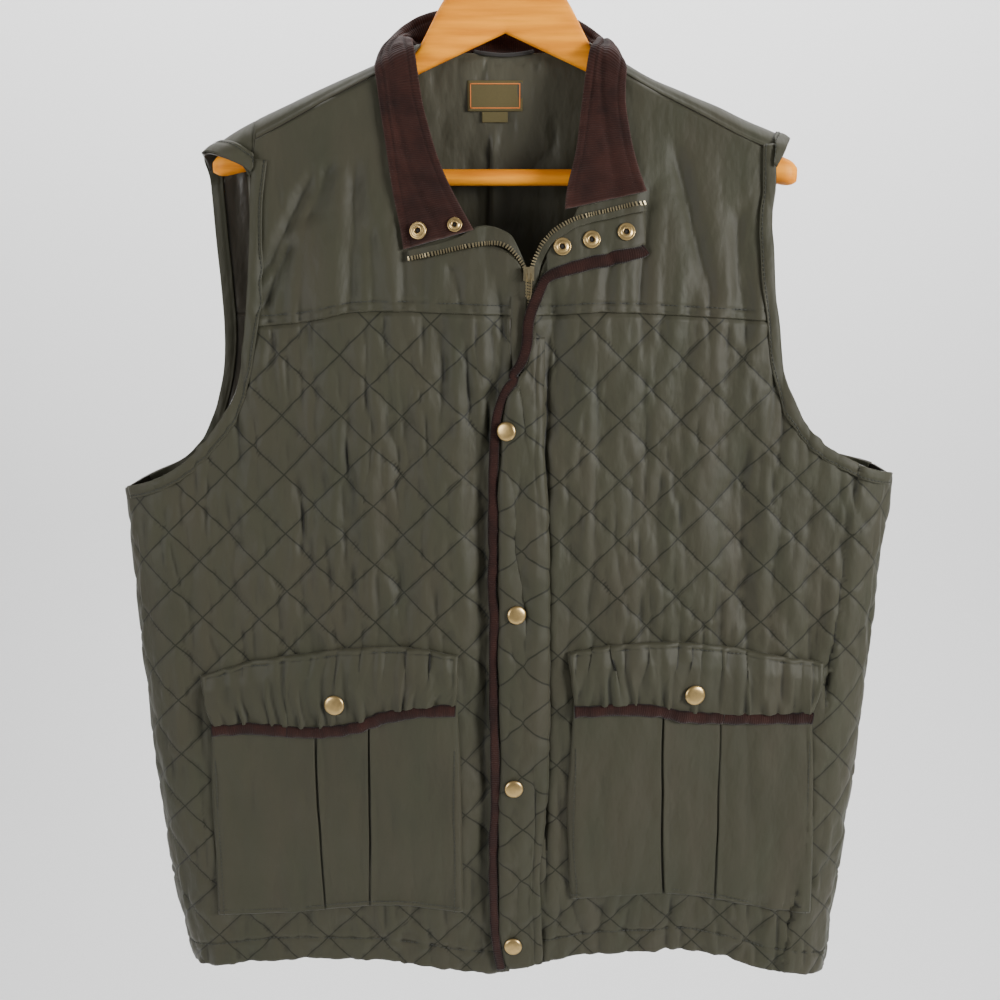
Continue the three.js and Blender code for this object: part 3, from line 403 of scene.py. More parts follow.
def quilting(s, z, crossing):
    """Height of the padded cloth: sunk along the stitching, puckered beside it."""
    d, da, db = seam_distance(s, z, crossing)
    padding = PADDING * (1 - np.exp(-d / 3))
    pucker = noise((s - z) / 6.5, (s + z) / 30, 3) * np.exp(-da / 6)
    pucker = pucker + noise((s + z) / 6.5, (s - z) / 30, 4) * np.exp(-db / 6)
    crushed = 0.45 + 0.75 * smooth(0.5 + noise(s / 40, z / 45, 46))
    slack = SLACK * crushed * (noise(s / 4.6 + z / 130, z / 24, 5) + 0.6 * noise(s / 9, z / 40, 47))
    height = 1.7 + padding + PUCKER * pucker * np.minimum(1, d / 1.5) + slack * np.minimum(1, 0.35 + d / 3)
    return np.clip(height, QUILT_LOW, QUILT_HIGH)


def gathers(x, below, seed, reach, height):
    """Small pleats that start at a seam and die out below it."""
    return height * noise(x / 6, below / 60, seed) * np.exp(-np.maximum(below, 0) / reach)


# Meshes

def add_mesh(name, vertices, faces, uv, material):
    name = name.replace(" ", "_")
    mesh = bpy.data.meshes.new(name)
    mesh.from_pydata((np.asarray(vertices) * MM).tolist(), [], faces)
    mesh.polygons.foreach_set("use_smooth", [True] * len(mesh.polygons))
    if uv is not None:
        layer = mesh.uv_layers.new(name="cloth")
        corner = np.empty(len(mesh.loops), dtype=int)
        mesh.loops.foreach_get("vertex_index", corner)
        layer.data.foreach_set("uv", np.asarray(uv)[corner].ravel())
    mesh.materials.append(material)
    mesh.update()
    piece = bpy.data.objects.new(name, mesh)
    bpy.context.scene.collection.objects.link(piece)
    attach(piece, BODY)
    return piece


def grid_faces(rows, cols, offset=0, wrap=False):
    i, j = np.meshgrid(np.arange(rows - 1), np.arange(cols if wrap else cols - 1), indexing="ij")
    k = (j + 1) % cols
    quads = np.stack([i * cols + j, i * cols + k, (i + 1) * cols + k, (i + 1) * cols + j], axis=-1)
    return (quads.reshape(-1, 4) + offset).tolist()


def shell(name, outer, inner, uv, material, inside=None):
    """Thin closed cloth between two grids of points; inside is the material of its back."""
    rows, cols = outer.shape[:2]
    count = rows * cols
    faces = grid_faces(rows, cols)
    back = [face[::-1] for face in grid_faces(rows, cols, count)]
    rim = [i for i in range(cols - 1)]
    rim += [i * cols + cols - 1 for i in range(rows - 1)]
    rim += [(rows - 1) * cols + j for j in range(cols - 1, 0, -1)]
    rim += [i * cols for i in range(rows - 1, 0, -1)]
    edge = [[a, a + count, b + count, b] for a, b in zip(rim, rim[1:] + rim[:1])]
    r, c = rows // 2, cols // 2
    normal = np.cross(outer[r, c + 1] - outer[r, c], outer[r + 1, c] - outer[r, c])
    if np.dot(normal, outer[r, c] - inner[r, c]) < 0:
        faces, back, edge = ([face[::-1] for face in part] for part in (faces, back, edge))
    vertices = np.concatenate([outer.reshape(-1, 3), inner.reshape(-1, 3)])
    both = np.concatenate([uv.reshape(-1, 2)] * 2)
    piece = add_mesh(name, vertices, faces + back + edge, both, material)
    if inside:
        piece.data.materials.append(inside)
        for index in range(len(faces), len(faces) + len(back) + len(edge)):
            piece.data.polygons[index].material_index = 1
    return piece


def tube(name, path, width, height, up, material, sides):
    """Cord or band of elliptical section along a path; width and height may vary along it."""
    path = np.asarray(path, float)
    run = unit(np.gradient(path, axis=0))
    up = np.broadcast_to(np.asarray(up, float), path.shape)
    up = unit(up - run * np.sum(up * run, axis=1, keepdims=True))
    across = np.cross(run, up)
    turn = np.arange(sides) * 2 * math.pi / sides
    width = np.broadcast_to(width, len(path))[:, None, None]
    height = np.broadcast_to(height, len(path))[:, None, None]
    rings = (path[:, None] + across[:, None] * np.cos(turn)[None, :, None] * width / 2
             + up[:, None] * np.sin(turn)[None, :, None] * height / 2)
    count = len(path) * sides
    faces = grid_faces(len(path), sides, wrap=True)
    faces += [list(range(sides))[::-1], [count - sides + k for k in range(sides)]]
    uv = np.stack(np.broadcast_arrays(steps_along(path)[:, None], turn[None, :] * 3), axis=-1).reshape(-1, 2)
    return add_mesh(name, rings.reshape(-1, 3), faces, uv, material)


def turned(name, centre, normal, profile, material, segments=40):
    """Round piece about a normal: profile of radius and height, closed at the axis or on itself."""
    normal = unit(np.asarray(normal, float))
    side = unit(np.cross(normal, (0, 0, 1)))
    up = np.cross(side, normal)
    turn = np.arange(segments) * 2 * math.pi / segments
    ring = np.cos(turn)[:, None] * side + np.sin(turn)[:, None] * up
    rings = np.array([centre + ring * radius + normal * height for radius, height in profile])
    faces = grid_faces(len(profile), segments, wrap=True)
    last = (len(profile) - 1) * segments
    if profile[0] != profile[-1]:
        faces += [list(range(segments))[::-1], [last + k for k in range(segments)]]
    return add_mesh(name, rings.reshape(-1, 3), faces, None, material)


def boxes(name, corners, sides, material):
    """Many small six-sided pieces in one mesh, from eight corners each."""
    faces = [[8 * i + k for k in side] for i in range(len(corners)) for side in sides]
    return add_mesh(name, corners.reshape(-1, 3), faces, None, material)


def stitches(name, lines, material, length=2.5, step=3.4):
    """Short threads laid along lines of points with their normals."""
    corners = []
    for points, normals in lines:
        run = steps_along(points)
        starts = np.arange(0, run[-1] - length, step)
        a = sampled(points, run, starts)
        b = sampled(points, run, starts + length)
        n = unit(sampled(normals, run, starts + length / 2))
        wide = np.cross(unit(b - a), n) * 0.28
        rise = n * 0.22
        low = [a - wide, a + wide, b + wide, b - wide]
        near, far = mix(a, b, 0.2), mix(a, b, 0.8)
        high = [near - wide + rise, near + wide + rise, far + wide + rise, far - wide + rise]
        corners.append(np.stack(low + high, axis=1))
    sides = [(0, 3, 2, 1), (4, 5, 6, 7), (0, 1, 5, 4), (1, 2, 6, 5), (2, 3, 7, 6), (3, 0, 4, 7)]
    return boxes(name, np.concatenate(corners), sides, material)


def body_line(face, flat, lift, step=3):
    """Points and normals along a line given in s and z on the front or back."""
    line = spline(flat, max(8, int(length_of(flat) / step)))
    low = on_body(face, line[:, 0], line[:, 1], lift)
    high = on_body(face, line[:, 0], line[:, 1], np.asarray(lift) + 1)
    return low, high - low


# Materials

def add_node(tree, kind, inputs, output=0, **options):
    """New node with its options and inputs set, from plain values or from sockets; returns one output."""
    made = tree.nodes.new(kind)
    for key, value in options.items():
        setattr(made, key, value)
    for key, value in inputs.items():
        if isinstance(value, bpy.types.NodeSocket):
            tree.links.new(value, made.inputs[key])
        elif value is not None:
            made.inputs[key].default_value = value
    return made.outputs[output]


def new_material(name, **settings):
    material = bpy.data.materials.new(name)
    material.use_nodes = True
    shader = material.node_tree.nodes["Principled BSDF"]
    for key, value in settings.items():
        shader.inputs[SHADER_INPUTS[key]].default_value = value
    return material, material.node_tree, shader


SHADER_INPUTS = {
    "roughness": "Roughness",
    "metallic": "Metallic",
    "specular": "Specular IOR Level",
    "sheen": "Sheen Weight",
    "sheen_roughness": "Sheen Roughness",
    "coat": "Coat Weight",
    "coat_roughness": "Coat Roughness",
}


def maths(tree, operation, a, b=None):
    return add_node(tree, "ShaderNodeMath", {0: a, 1: b}, operation=operation)


def mixed(tree, factor, a, b):
    """Colour between a and b, which are colours or sockets."""
    a, b = (c if isinstance(c, bpy.types.NodeSocket) else (*c, 1) for c in (a, b))
    return add_node(tree, "ShaderNodeMix", {"Factor": factor, 6: a, 7: b}, 2, data_type="RGBA")


def mottle(tree, vector, scale, detail):
    return add_node(tree, "ShaderNodeTexNoise", {"Vector": vector, "Scale": scale, "Detail": detail}, "Fac")


def object_at(tree):
    return add_node(tree, "ShaderNodeTexCoord", {}, "Object")


def stretched(tree, vector, scale):
    return add_node(tree, "ShaderNodeMapping", {"Vector": vector, "Scale": scale})


def cloth_uv(tree):
    """The cloth's place on the wall: both numbers together, then each."""
    uv = add_node(tree, "ShaderNodeUVMap", {}, uv_map="cloth")
    return uv, *(add_node(tree, "ShaderNodeSeparateXYZ", {0: uv}, part) for part in (0, 1))


def bump(tree, shader, height, strength, distance):
    relief = {"Strength": strength, "Distance": distance, "Height": height}
    tree.links.new(add_node(tree, "ShaderNodeBump", relief), shader.inputs["Normal"])


def by_pointiness(tree, low, high, first, last, kind="LINEAR"):
    """From first to last as the form goes from hollow to sharp."""
    sharp = add_node(tree, "ShaderNodeNewGeometry", {}, "Pointiness")
    span = {"Value": sharp, "From Min": low, "From Max": high, "To Min": first, "To Max": last}
    return add_node(tree, "ShaderNodeMapRange", span, interpolation_type=kind)


def painted_crease_shade(tree, colour, low, high, depth):
    """Painted shade: colour sunk towards black where the cloth is creased inwards."""
    return mixed(tree, by_pointiness(tree, low, high, depth, 0.0, "SMOOTHSTEP"), colour, CREASE_SHADE)


def line_mask(tree, value, offset, pitch, width):
    """1 on evenly spaced lines, 0 between them."""
    shifted = maths(tree, "DIVIDE", maths(tree, "SUBTRACT", value, offset), pitch)
    part = maths(tree, "ABSOLUTE", maths(tree, "SUBTRACT", maths(tree, "FRACT", shifted), 0.5))
    distance = maths(tree, "MULTIPLY", maths(tree, "SUBTRACT", 0.5, part), pitch / math.sqrt(2))
    return maths(tree, "LESS_THAN", distance, width)


def nylon(name, light, dark, crossing=None, roughness=0.56):
    """Soft shiny microfibre; with a crossing it carries the lines of the quilting."""
    look = {"roughness": roughness, "specular": 0.2, "sheen": 0.05, "sheen_roughness": 0.4}
    material, tree, shader = new_material(name, **look)
    uv, s, z = cloth_uv(tree)
    colour = mixed(tree, mottle(tree, object_at(tree), scale=14, detail=3), dark, light)
    # Brownish patches stretched upright stand in for the cloth's two-tone sheen: painted sheen
    if light == OLIVE:
        wear_and_sheen = mottle(tree, stretched(tree, uv, (0.035, 0.012, 1)), scale=1.0, detail=3)
        colour = mixed(tree, wear_and_sheen, colour, OLIVE_SHEEN_TINT)
    # Dark lines along the quilting: partly the stitching thread, partly painted shade in its sunk groove
    if crossing:
        total, differ = maths(tree, "ADD", s, z), maths(tree, "SUBTRACT", s, z)
        first = line_mask(tree, total, sum(crossing), QUILT_PITCH, SEAM_LINE)
        second = line_mask(tree, differ, crossing[0] - crossing[1], QUILT_PITCH, SEAM_LINE)
        seam = maths(tree, "MULTIPLY", maths(tree, "MAXIMUM", first, second), 0.8)
        colour = mixed(tree, seam, colour, tuple(c * 0.22 for c in light))
    # Painted shade in the creases
    sunk = painted_crease_shade(tree, colour, low=0.435, high=0.503, depth=0.85)
    tree.links.new(sunk, shader.inputs["Base Color"])
    wrinkles = mottle(tree, stretched(tree, uv, (0.085, 0.04, 1)), scale=1.0, detail=2.5)
    bump(tree, shader, wrinkles, strength=0.7, distance=0.0024)
    return material


def corduroy(name):
    """Dark brown pile in fine wales across the band, lighter where the nap is brushed."""
    look = {"roughness": 0.95, "specular": 0.1, "sheen": 0.14, "sheen_roughness": 0.5}
    material, tree, shader = new_material(name, **look)
    _, u, _ = cloth_uv(tree)
    wale = maths(tree, "SINE", maths(tree, "MULTIPLY", u, 2 * math.pi / WALE_PITCH))
    nap = mottle(tree, object_at(tree), scale=55, detail=4)
    ribs = maths(tree, "MULTIPLY", maths(tree, "ADD", wale, 1), 0.09)
    level = maths(tree, "SUBTRACT", maths(tree, "ADD", ribs, maths(tree, "MULTIPLY", nap, 1.6)), 0.6)
    # Lighter on sharp edges: partly rubbed pile, partly painted highlight on the rims
    rubbed_and_highlit = by_pointiness(tree, low=0.515, high=0.62, first=0.0, last=0.55)
    pile = mixed(tree, rubbed_and_highlit, mixed(tree, level, CORDUROY, CORDUROY_NAP), CORDUROY_RUBBED_AND_LIT)
    # Painted shade in the creases
    sunk = painted_crease_shade(tree, pile, low=0.42, high=0.5, depth=0.8)
    tree.links.new(sunk, shader.inputs["Base Color"])
    relief = maths(tree, "ADD", wale, maths(tree, "MULTIPLY", nap, 8.0))
    bump(tree, shader, relief, strength=0.3, distance=0.0006)
    return material


def metal(name, colour, roughness, dirt=0.35):
    material, tree, shader = new_material(name, metallic=1.0, roughness=roughness)
    # Darker patches of dirt on the metal
    wear_and_sheen = maths(tree, "MULTIPLY", mottle(tree, object_at(tree), scale=380, detail=3), dirt * 2)
    tree.links.new(mixed(tree, wear_and_sheen, colour, tuple(c * 0.45 for c in colour)), shader.inputs["Base Color"])
    return material


def wood(name):
    material, tree, shader = new_material(name, roughness=0.5, specular=0.14, coat=0.04, coat_roughness=0.35)
    grain = mottle(tree, stretched(tree, object_at(tree), (11, 60, 130)), scale=1.0, detail=5)
    strong = maths(tree, "MULTIPLY", maths(tree, "SUBTRACT", grain, 0.34), 3.2)
    tree.links.new(mixed(tree, strong, WOOD_GRAIN, WOOD), shader.inputs["Base Color"])
    return material


def plain(name, colour, roughness):
    material, tree, shader = new_material(name, roughness=roughness)
    weave = mottle(tree, object_at(tree), scale=900, detail=2)
    tree.links.new(mixed(tree, weave, tuple(c * 0.8 for c in colour), colour), shader.inputs["Base Color"])
    return material


MATERIALS = {key: nylon(f"olive quilted {key}", OLIVE, OLIVE_DARK, place) for key, place in CROSSINGS.items()}
MATERIALS |= {
    "olive": nylon("olive", OLIVE, OLIVE_DARK),
    "lining": nylon("lining", LINING, tuple(c * 0.6 for c in LINING), roughness=0.36),
    # Darker copy of the lining: painted shade on the back of the cloth
    "inner": nylon("shaded inner lining", INNER_SHADED, INNER_SHADED_DARK, roughness=0.34),
    "corduroy": corduroy("corduroy"),
    "brass": metal("antique brass", BRASS, 0.34),
    "zip": metal("zip metal", ZIP_METAL, 0.36),
    "steel": metal("steel", STEEL, 0.2, 0.1),
    "wood": wood("wood"),
    "tape": nylon("zip tape", OLIVE, OLIVE_DARK, roughness=0.6),
    "label": plain("label", LABEL, 0.85),
    "label edge": plain("label edge", LABEL_EDGE, 0.8),
    "thread": plain("thread", THREAD, 0.8),
    "loop": plain("hanging loop and hole shade", LOOP_AND_HOLE_SHADE, 0.85),
}


def on_wall(name, face, s, z, outer, inner, material, inside=None):
    """Cloth between two heights over the body's wall; its uv is its place on the wall."""
    places = np.stack([s, z], axis=-1)
    outer, inner = on_body(face, s, z, outer), on_body(face, s, z, inner)
    return shell(name, outer, inner, places, MATERIALS[material], MATERIALS.get(inside))


# Quilted panels

def outer_edge(table, side, underarm):
    """x or s of a panel's outer edge as a function of the level: armhole, then side seam."""
    line = spline(round_section(table), 120)

    def edge(z):
        upper = np.interp(-z, -line[:, 1], line[:, 0])
        seam = side_seam(side, np.minimum(z, underarm))
        corner = smooth((line[-1, 1] - z) / (line[-1, 1] - underarm))
        return np.where(z > line[-1, 1], upper, mix(line[-1, 0], seam, corner))
    return edge


def under_trim(t, margin, top):
    """Flattens the cloth to a height under the strip that lies along its edge."""
    return mix(np.minimum(t, top), t, smooth((margin - 9) / 5))


def hemmed(t, s, z, hem, seed):
    """Adds the puckers above a hem and the groove of its stitching."""
    t = t + 0.5 * noise(s / 5, z / 16, seed) * smooth((34 - hem) / 8)
    return t - 1.1 * np.exp(-((hem - 20) / 1.4) ** 2)


def below_yoke(armhole, key):
    return outer_edge([place for place in armhole[key] if place[1] < -300], SIDES[key], UNDERARM[key])


def front_panels():
    for key, side in SIDES.items():
        outline = below_yoke(ARMHOLE_FRONT, key)
        u, v = unit_grid("front")
        z = mix(*LEVELS_OF_FRONT, v)
        for _ in range(8):
            s = squeeze(mix(FRONT_EDGE + side * PANEL_GAP, side * WIDEST, u), outline(z), side)
            z = mix(curve(YOKE_SEAM, s) + SEAM_TUCK, curve(HEM_FRONT, s) + 1.1 * noise(s / 9, s * 0, 26), v)
        below = curve(YOKE_SEAM, s) - z
        t = quilting(s, z, CROSSINGS[key]) + gathers(s, below, seed=6, reach=16, height=0.5)
        t = hemmed(t, s, z, z - curve(HEM_FRONT, s), 27)
        t = np.clip(under_trim(t, side * (outline(z) - s), BINDING_LOW - 0.1), 1.0, 4.05)
        t = np.where(below < 0.3, 0.55, t)
        piece = on_wall(f"quilted front {key}", -1, s, z, t, 0.2, key, "inner")
        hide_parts(f"front_{key}")


def back_panel():
    cols, rows = GRID["back"]
    left, right = (below_yoke(ARMHOLE_BACK, key) for key in SIDES)
    u, v = np.meshgrid(np.linspace(-WIDEST, WIDEST, cols), np.linspace(0, 1, rows))
    z = mix(YOKE_Z - 2 + SEAM_TUCK, HEM_BACK_Z - 4.0, v)
    s = squeeze(squeeze(u, right(z), 1)[:, ::-1], left(z), -1)[:, ::-1]
    t = hemmed(quilting(s, z, CROSSINGS["back"]), s, z, z - HEM_BACK_Z + 4, 28)
    t = np.clip(under_trim(t, np.minimum(s - left(z), right(z) - s), BINDING_LOW - 0.1), 1.0, 4.0)
    t = np.where(z > YOKE_Z - 2, 0.55, t)
    piece = on_wall("quilted back", 1, s, z, t, 0.2, "back", "inner")
    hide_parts("back_panel")


# Yokes and lining

def along_list(points, k):
    at = list(range(len(points)))
    where = k * (len(points) - 1)
    return np.stack([curve(list(zip(at, column)), where) for column in zip(*points)], axis=-1)


def coons(bottom, top, left, right, u, v):
    """Flat places filled in between four edges given as short lists of points."""
    corner = [np.array(p, float) for p in (bottom[0], bottom[-1], top[0], top[-1])]
    u1, v1 = u[..., None], v[..., None]
    rows = mix(along_list(bottom, u), along_list(top, u), v1)
    cols = mix(along_list(left, v), along_list(right, v), u1)
    return rows + cols - mix(mix(corner[0], corner[1], u1), mix(corner[2], corner[3], u1), v1)


def seam_line(start, end, drop, steps=13):
    return [(x, float(curve(YOKE_SEAM, x)) + drop) for x in np.linspace(start, end, steps + 1)]


def seam_top(start, end, steps=13):
    return [(x, float(ridge(x) - seam_drop(x)) - 0.45) for x in np.linspace(start, end, steps + 1)]


YOKES = {
    "left": {
        "foot": (-198, 4.7),
        "top": (-187, -84),
        "armhole": [(-198, -332.9), (-195, -309), (-193, -274), (-191, -240), (-190, -215)],
        "centre": [(4.7, -323.7), (6.5, -312), (12.4, -301), (12.6, -291), (6.5, -281), (-2, -275),
                   (-14, -271), (-28, -262), (-46, -238), (-60, -205), (-72, -170)],
    },
    "right": {
        "foot": (207.6, 18.3),
        "top": (200, 84),
        "armhole": [(207.6, -328.4), (204, -307), (202, -278), (201.5, -250), (203.5, -220)],
        "centre": [(18.3, -323.8), (20.2, -312), (24, -301), (27, -290), (34, -277), (46, -262), (56, -238),
                   (64, -205), (72, -170)],
    },
}


def yoke_hem(above):
    """Height of a yoke's inner face: it lies over the tucked top of the quilting."""
    return mix(0.75, 0.2, smooth(above / 3))


def front_yokes():
    u, v = unit_grid("yoke")
    for key, yoke in YOKES.items():
        top = seam_top(*yoke["top"])
        foot = seam_line(*yoke["foot"], 0.15)
        flat = coons(foot, top, yoke["armhole"] + top[:1], yoke["centre"] + top[-1:], u, v)
        x, z = flat[..., 0], flat[..., 1]
        above = z - curve(YOKE_SEAM, x)
        t = 1.6 + gathers(x, above - 8, seed=7, reach=26, height=1.0) + 0.5 * noise(x / 15, z / 42, 8)
        t -= 0.5 * np.exp(-((above - 7.5) / 1.3) ** 2)
        t += (0.25 + 0.35 * noise(x / 4.5, z * 0, 44)) * smooth((7 - above) / 2)
        t = np.where(above < 1.2, 2.0, np.clip(t, 0.9, 2.4))
        piece = on_wall(f"yoke front {key}", -1, x, z, t, yoke_hem(above - 2.5), "olive", "inner")
        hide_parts(f"front_yoke_{key}")


CAP_EDGE = {
    "left": [(-187, 26.3), (-190, 49), (-197, 41), (-204, 34), (-215, 23.5), (-224, 13), (-230, 4),
             (-232, -8)],
    "right": [(200, 26.3), (202.5, 38), (206, 31), (210, 21), (214, 10), (215.5, 0)],
}


def back_yoke():
    """From the forward shoulder seam over the hanger and down the back."""
    across = [np.linspace(*span) for span in ((-232, -186, 26), (-184, 198, 120), (199.5, 215.5, 12))]
    x, k = np.meshgrid(np.concatenate(across), np.linspace(0, 1, 84) ** 1.25)
    r = shoulder_radius(x)
    seam = r * np.arccos((r - seam_drop(x)) / r)
    start = mix(-r * math.pi / 2, seam, smooth((np.abs(x) - 50) / 20))
    start = np.where(x > 200, curve(CAP_EDGE["right"], x), start)
    start = np.where(x < -187, curve(CAP_EDGE["left"], x), start)
    x = np.where(x < -187, x + 2 * smooth(k * 1.6) * (x + 187) / -45, x)
    x = np.where(x > 200, x - 5.5 * smooth(k * 1.6) * (x - 200) / 15.5, x)
    w = mix(start, along_back(x, YOKE_Z - 1.85), k)
    t = 1.8 + 0.3 * noise(x / 18, w / 40, 9) + 0.5 * noise(x / 7, w / 50, 10) * smooth((k - 0.75) * 4)
    t -= 0.5 * np.exp(-((start - w - 4) / 1.4) ** 2)
    t = np.clip(t, 0.9, 2.4)
    low = yoke_hem(w - along_back(x, YOKE_Z) - 1)
    places = np.stack([x, w], axis=-1)
    piece = shell("yoke back", on_shoulder(x, w, t), on_shoulder(x, w, low), places, MATERIALS["olive"],
                  MATERIALS["inner"])
    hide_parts("back_yoke")


def back_lining():
    cols, rows = GRID["lining"]
    x, k = np.meshgrid(np.linspace(-203, 201, cols), np.linspace(0, 1, rows))
    top = np.where(np.abs(x) < 62, -128, mix(-128, ridge(x) - 30, smooth((np.abs(x) - 62) / 25)))
    z = mix(top, YOKE_Z - 6.0, k)
    open_pleat = smooth((-176 - z) / 25)
    pleat = 4.2 * open_pleat * smooth((x + 11.5) / 1.2) * np.exp(-np.maximum(x + 11.5, 0) / 22)
    slack = 1.0 * noise(x / 14 + z / 60, z / 46, 11) + 1.3 * noise(x / 30 - z / 45, z / 30, 12)
    slack += 2.0 * noise(x / 6, z / 30, 29) * np.exp((z + 128) / 20)
    depth = 1.3 + pleat + 1.3 * np.abs(slack) * smooth((-129 - z) / 5)
    piece = on_wall("lining of back yoke", 1, x, z, -0.9, -depth, "lining")
    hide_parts("back_lining")


# Collar

def soften(points, reach):
    """Moving mean along a line of points; the ends stay."""
    total = np.zeros_like(points)
    index = np.arange(len(points))
    room = np.minimum(reach, np.minimum(index, len(points) - 1 - index))
    for shift in range(-reach, reach + 1):
        total += points[index + np.clip(shift, -room, room)]
    return total / (2 * reach + 1)


COLLAR_LIFT = 5
COLLAR_GRID = (36, 280)
# Edges of the collar from its left end: on the front, over the shoulder by degrees, or a point in space
COLLAR_INNER = [
    ("front", -24, -262), ("front", -31, -247), ("front", -40, -232), ("front", -50, -210),
    ("front", -57, -186), ("front", -62, -166), ("over", -66, 76), ("over", -67, 46), ("over", -67, 14),
    ("point", -60, 15, -134), ("point", -38, 14.5, -131.4), ("point", 0, 14.5, -131),
    ("point", 38, 14.5, -131.4), ("point", 58, 15, -134), ("over", 66, 14), ("over", 64, 46),
    ("over", 61, 76), ("front", 57, -166), ("front", 55, -183), ("front", 52, -206), ("front", 46, -230),
    ("front", 44, -247),
]
COLLAR_OUTER = [
    ("front", -76, -276), ("front", -80, -258), ("front", -84, -236), ("front", -88, -206),
    ("front", -92, -181), ("front", -94.5, -164), ("over", -95.5, 76), ("over", -95.5, 46),
    ("point", -91, 2, -123), ("point", -73, 15, -104), ("point", -46, 22, -94), ("point", 0, 25, -92),
    ("point", 40, 22, -96), ("point", 64, 16, -108), ("point", 81, 3, -125), ("over", 87, 46),
    ("over", 89, 76), ("front", 89, -165), ("front", 91, -180), ("front", 95, -203),
    ("front", 101, -223), ("front", 104, -233),
]


def collar_point(kind, *place):
    if kind == "front":
        return on_body(-1, *place, COLLAR_LIFT)
    if kind == "over":
        x, degrees = place
        return on_shoulder(x, float(shoulder_radius(x)) * math.radians(degrees), COLLAR_LIFT + 0.9)
    return np.array(place, float)


def collar_line(table, fine, reach):
    """Smooth line through the points of one edge."""
    order = list(range(len(table)))
    points = np.array([collar_point(*row) for row in table])
    return soften(np.stack([curve(list(zip(order, column)), fine) for column in points.T], axis=1), reach)


def collar():
    cols, rows = COLLAR_GRID
    fine = np.linspace(0, len(COLLAR_INNER) - 1, rows)
    inner, outer = collar_line(COLLAR_INNER, fine, 5), collar_line(COLLAR_OUTER, fine, 8)
    middle = (inner + outer) / 2
    normal = unit(np.cross(unit(outer - inner), unit(np.gradient(middle, axis=0))))[:, None]
    v = np.linspace(0, 1, cols)
    points = mix(inner[:, None], outer[:, None], v[None, :, None])
    across = np.linalg.norm(outer - inner, axis=1)[:, None] * v
    length = np.broadcast_to(steps_along(middle)[:, None], across.shape)
    arch = np.sin(math.pi * v)[None]
    shape = 1.9 * noise(length / 20, across / 16, 13) * arch
    shape += 0.7 * noise(length / 5, across / 12, 45)
    shape += -2.2 * np.exp(-((v[None] - 0.42 - 0.25 * np.sin(length / 60)) / 0.07) ** 2)
    seams = (np.exp(-((edge - 6) / 1.1) ** 2) for edge in (across, across[:, ::-1]))
    shape = np.clip(shape - 1.3 * sum(seams), -2.2, 2.2)
    thick = 0.45 + 1.05 * (1 - np.abs(2 * v - 1) ** 8)[None]
    roll = 3.2 * arch * smooth(1 - np.abs(np.abs(fine - 10.8) - 4.2) / 4)[:, None]
    outside = points - normal * (thick + roll + shape * 0.7)[..., None]
    inside = points + normal * (thick - roll - shape * 0.3)[..., None]
    uv = np.stack([length, across], axis=-1)
    piece = shell("corduroy collar", outside, inside, uv, MATERIALS["corduroy"])
    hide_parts("collar")


# Placket and its piping

PIPING_PATH = [(-3, -866), (-6, -841), (-6, -760), (-5, -700), (-6, -626), (-6, -550), (-6, -474),
               (-4, -405), (0, -386), (9, -365), (15, -345), (19, -325), (22.5, -310), (26, -302),
               (30, -297), (36, -293.5), (45, -290.5), (58, -287), (76, -283), (93, -279.5), (106, -275.5)]
PLACKET_EDGE = [(28, -327), (27, -386), (28, -430), (31, -490), (32, -551), (33, -627), (33, -673),
                (30, -736), (29, -784), (31, -861)]
PLACKET_CAPS = [(3, -410), (8, -554.7), (7, -699.3), (7, -844)]
PLACKET_TOP = [
    [(31, -292.3), (45, -286.9), (59, -283.4), (77, -279.4), (94, -275.8), (105, -272)],
    [(34, -264.5), (52, -257.5), (75, -253), (103, -246.5)],
    [(31, -292.3), (31, -278), (34, -264.5)],
    [(105, -272), (104, -259), (103, -246.5)],
]


def placket():
    u, v = unit_grid("placket")
    z = mix(mix(-867.0, -861.5, u), -340.0, v)
    left = curve([(level, x) for x, level in PIPING_PATH if level < -330], z) + 3.2
    right = curve([(level, x) for x, level in PLACKET_EDGE], z)
    x = mix(left, right, u)
    clear = np.min([np.hypot(x - cx, z - cz) for cx, cz in PLACKET_CAPS], axis=0)
    d, _, _ = seam_distance(x, z, CROSSINGS["placket"])
    puff = 1.1 * (1 - np.exp(-d / 4)) * smooth((clear - 7) / 10)
    side = np.minimum(x - left, right - x)
    t = ON_QUILT + 0.6 + puff + 0.9 * smooth(side / 2.5) + 0.6 * noise(x / 6, z / 9, 14)
    t = mix(ON_QUILT + 0.3, t, smooth((-341 - z) / 16))
    t -= 0.7 * np.exp(-((right - x - 5) / 1.0) ** 2)
    piece = on_wall("placket cloth", -1, x, z, t, ON_QUILT + 0.05, "placket")
    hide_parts("placket")


def placket_top():
    u, v = unit_grid("placket top")
    flat = coons(*PLACKET_TOP, u, v)
    x, z = flat[..., 0], flat[..., 1]
    rim = np.minimum(np.minimum(u, 1 - u) * 70, np.minimum(v, 1 - v) * 28)
    t = ON_YOKE + 1.2 + 1.0 * smooth(rim / 3) + 0.3 * noise(x / 12, z / 9, 15) * smooth(rim / 5)
    piece = on_wall("turned-out placket top", -1, x, z, t, ON_YOKE, "olive")
    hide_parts("placket_top")


def placket_piping():
    path = spline(PIPING_PATH, 420)
    x, z = path[:, 0], path[:, 1]
    lift = mix(ON_QUILT, ON_YOKE, smooth((z + 318) / 12)) + 1.6
    at = np.arange(len(x))
    points = on_body(-1, x, z, lift + 0.15 * noise(at / 9, at * 0, 16))
    width = 7.6 + 0.9 * noise(at / 7, at * 0 + 3, 17) + 2.2 * smooth((z + 298) / 10)
    piece = tube("corduroy piping", points, width, 3.4, (0, -1, 0), MATERIALS["corduroy"], 14)
    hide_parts("placket_piping")


# Pockets and flaps

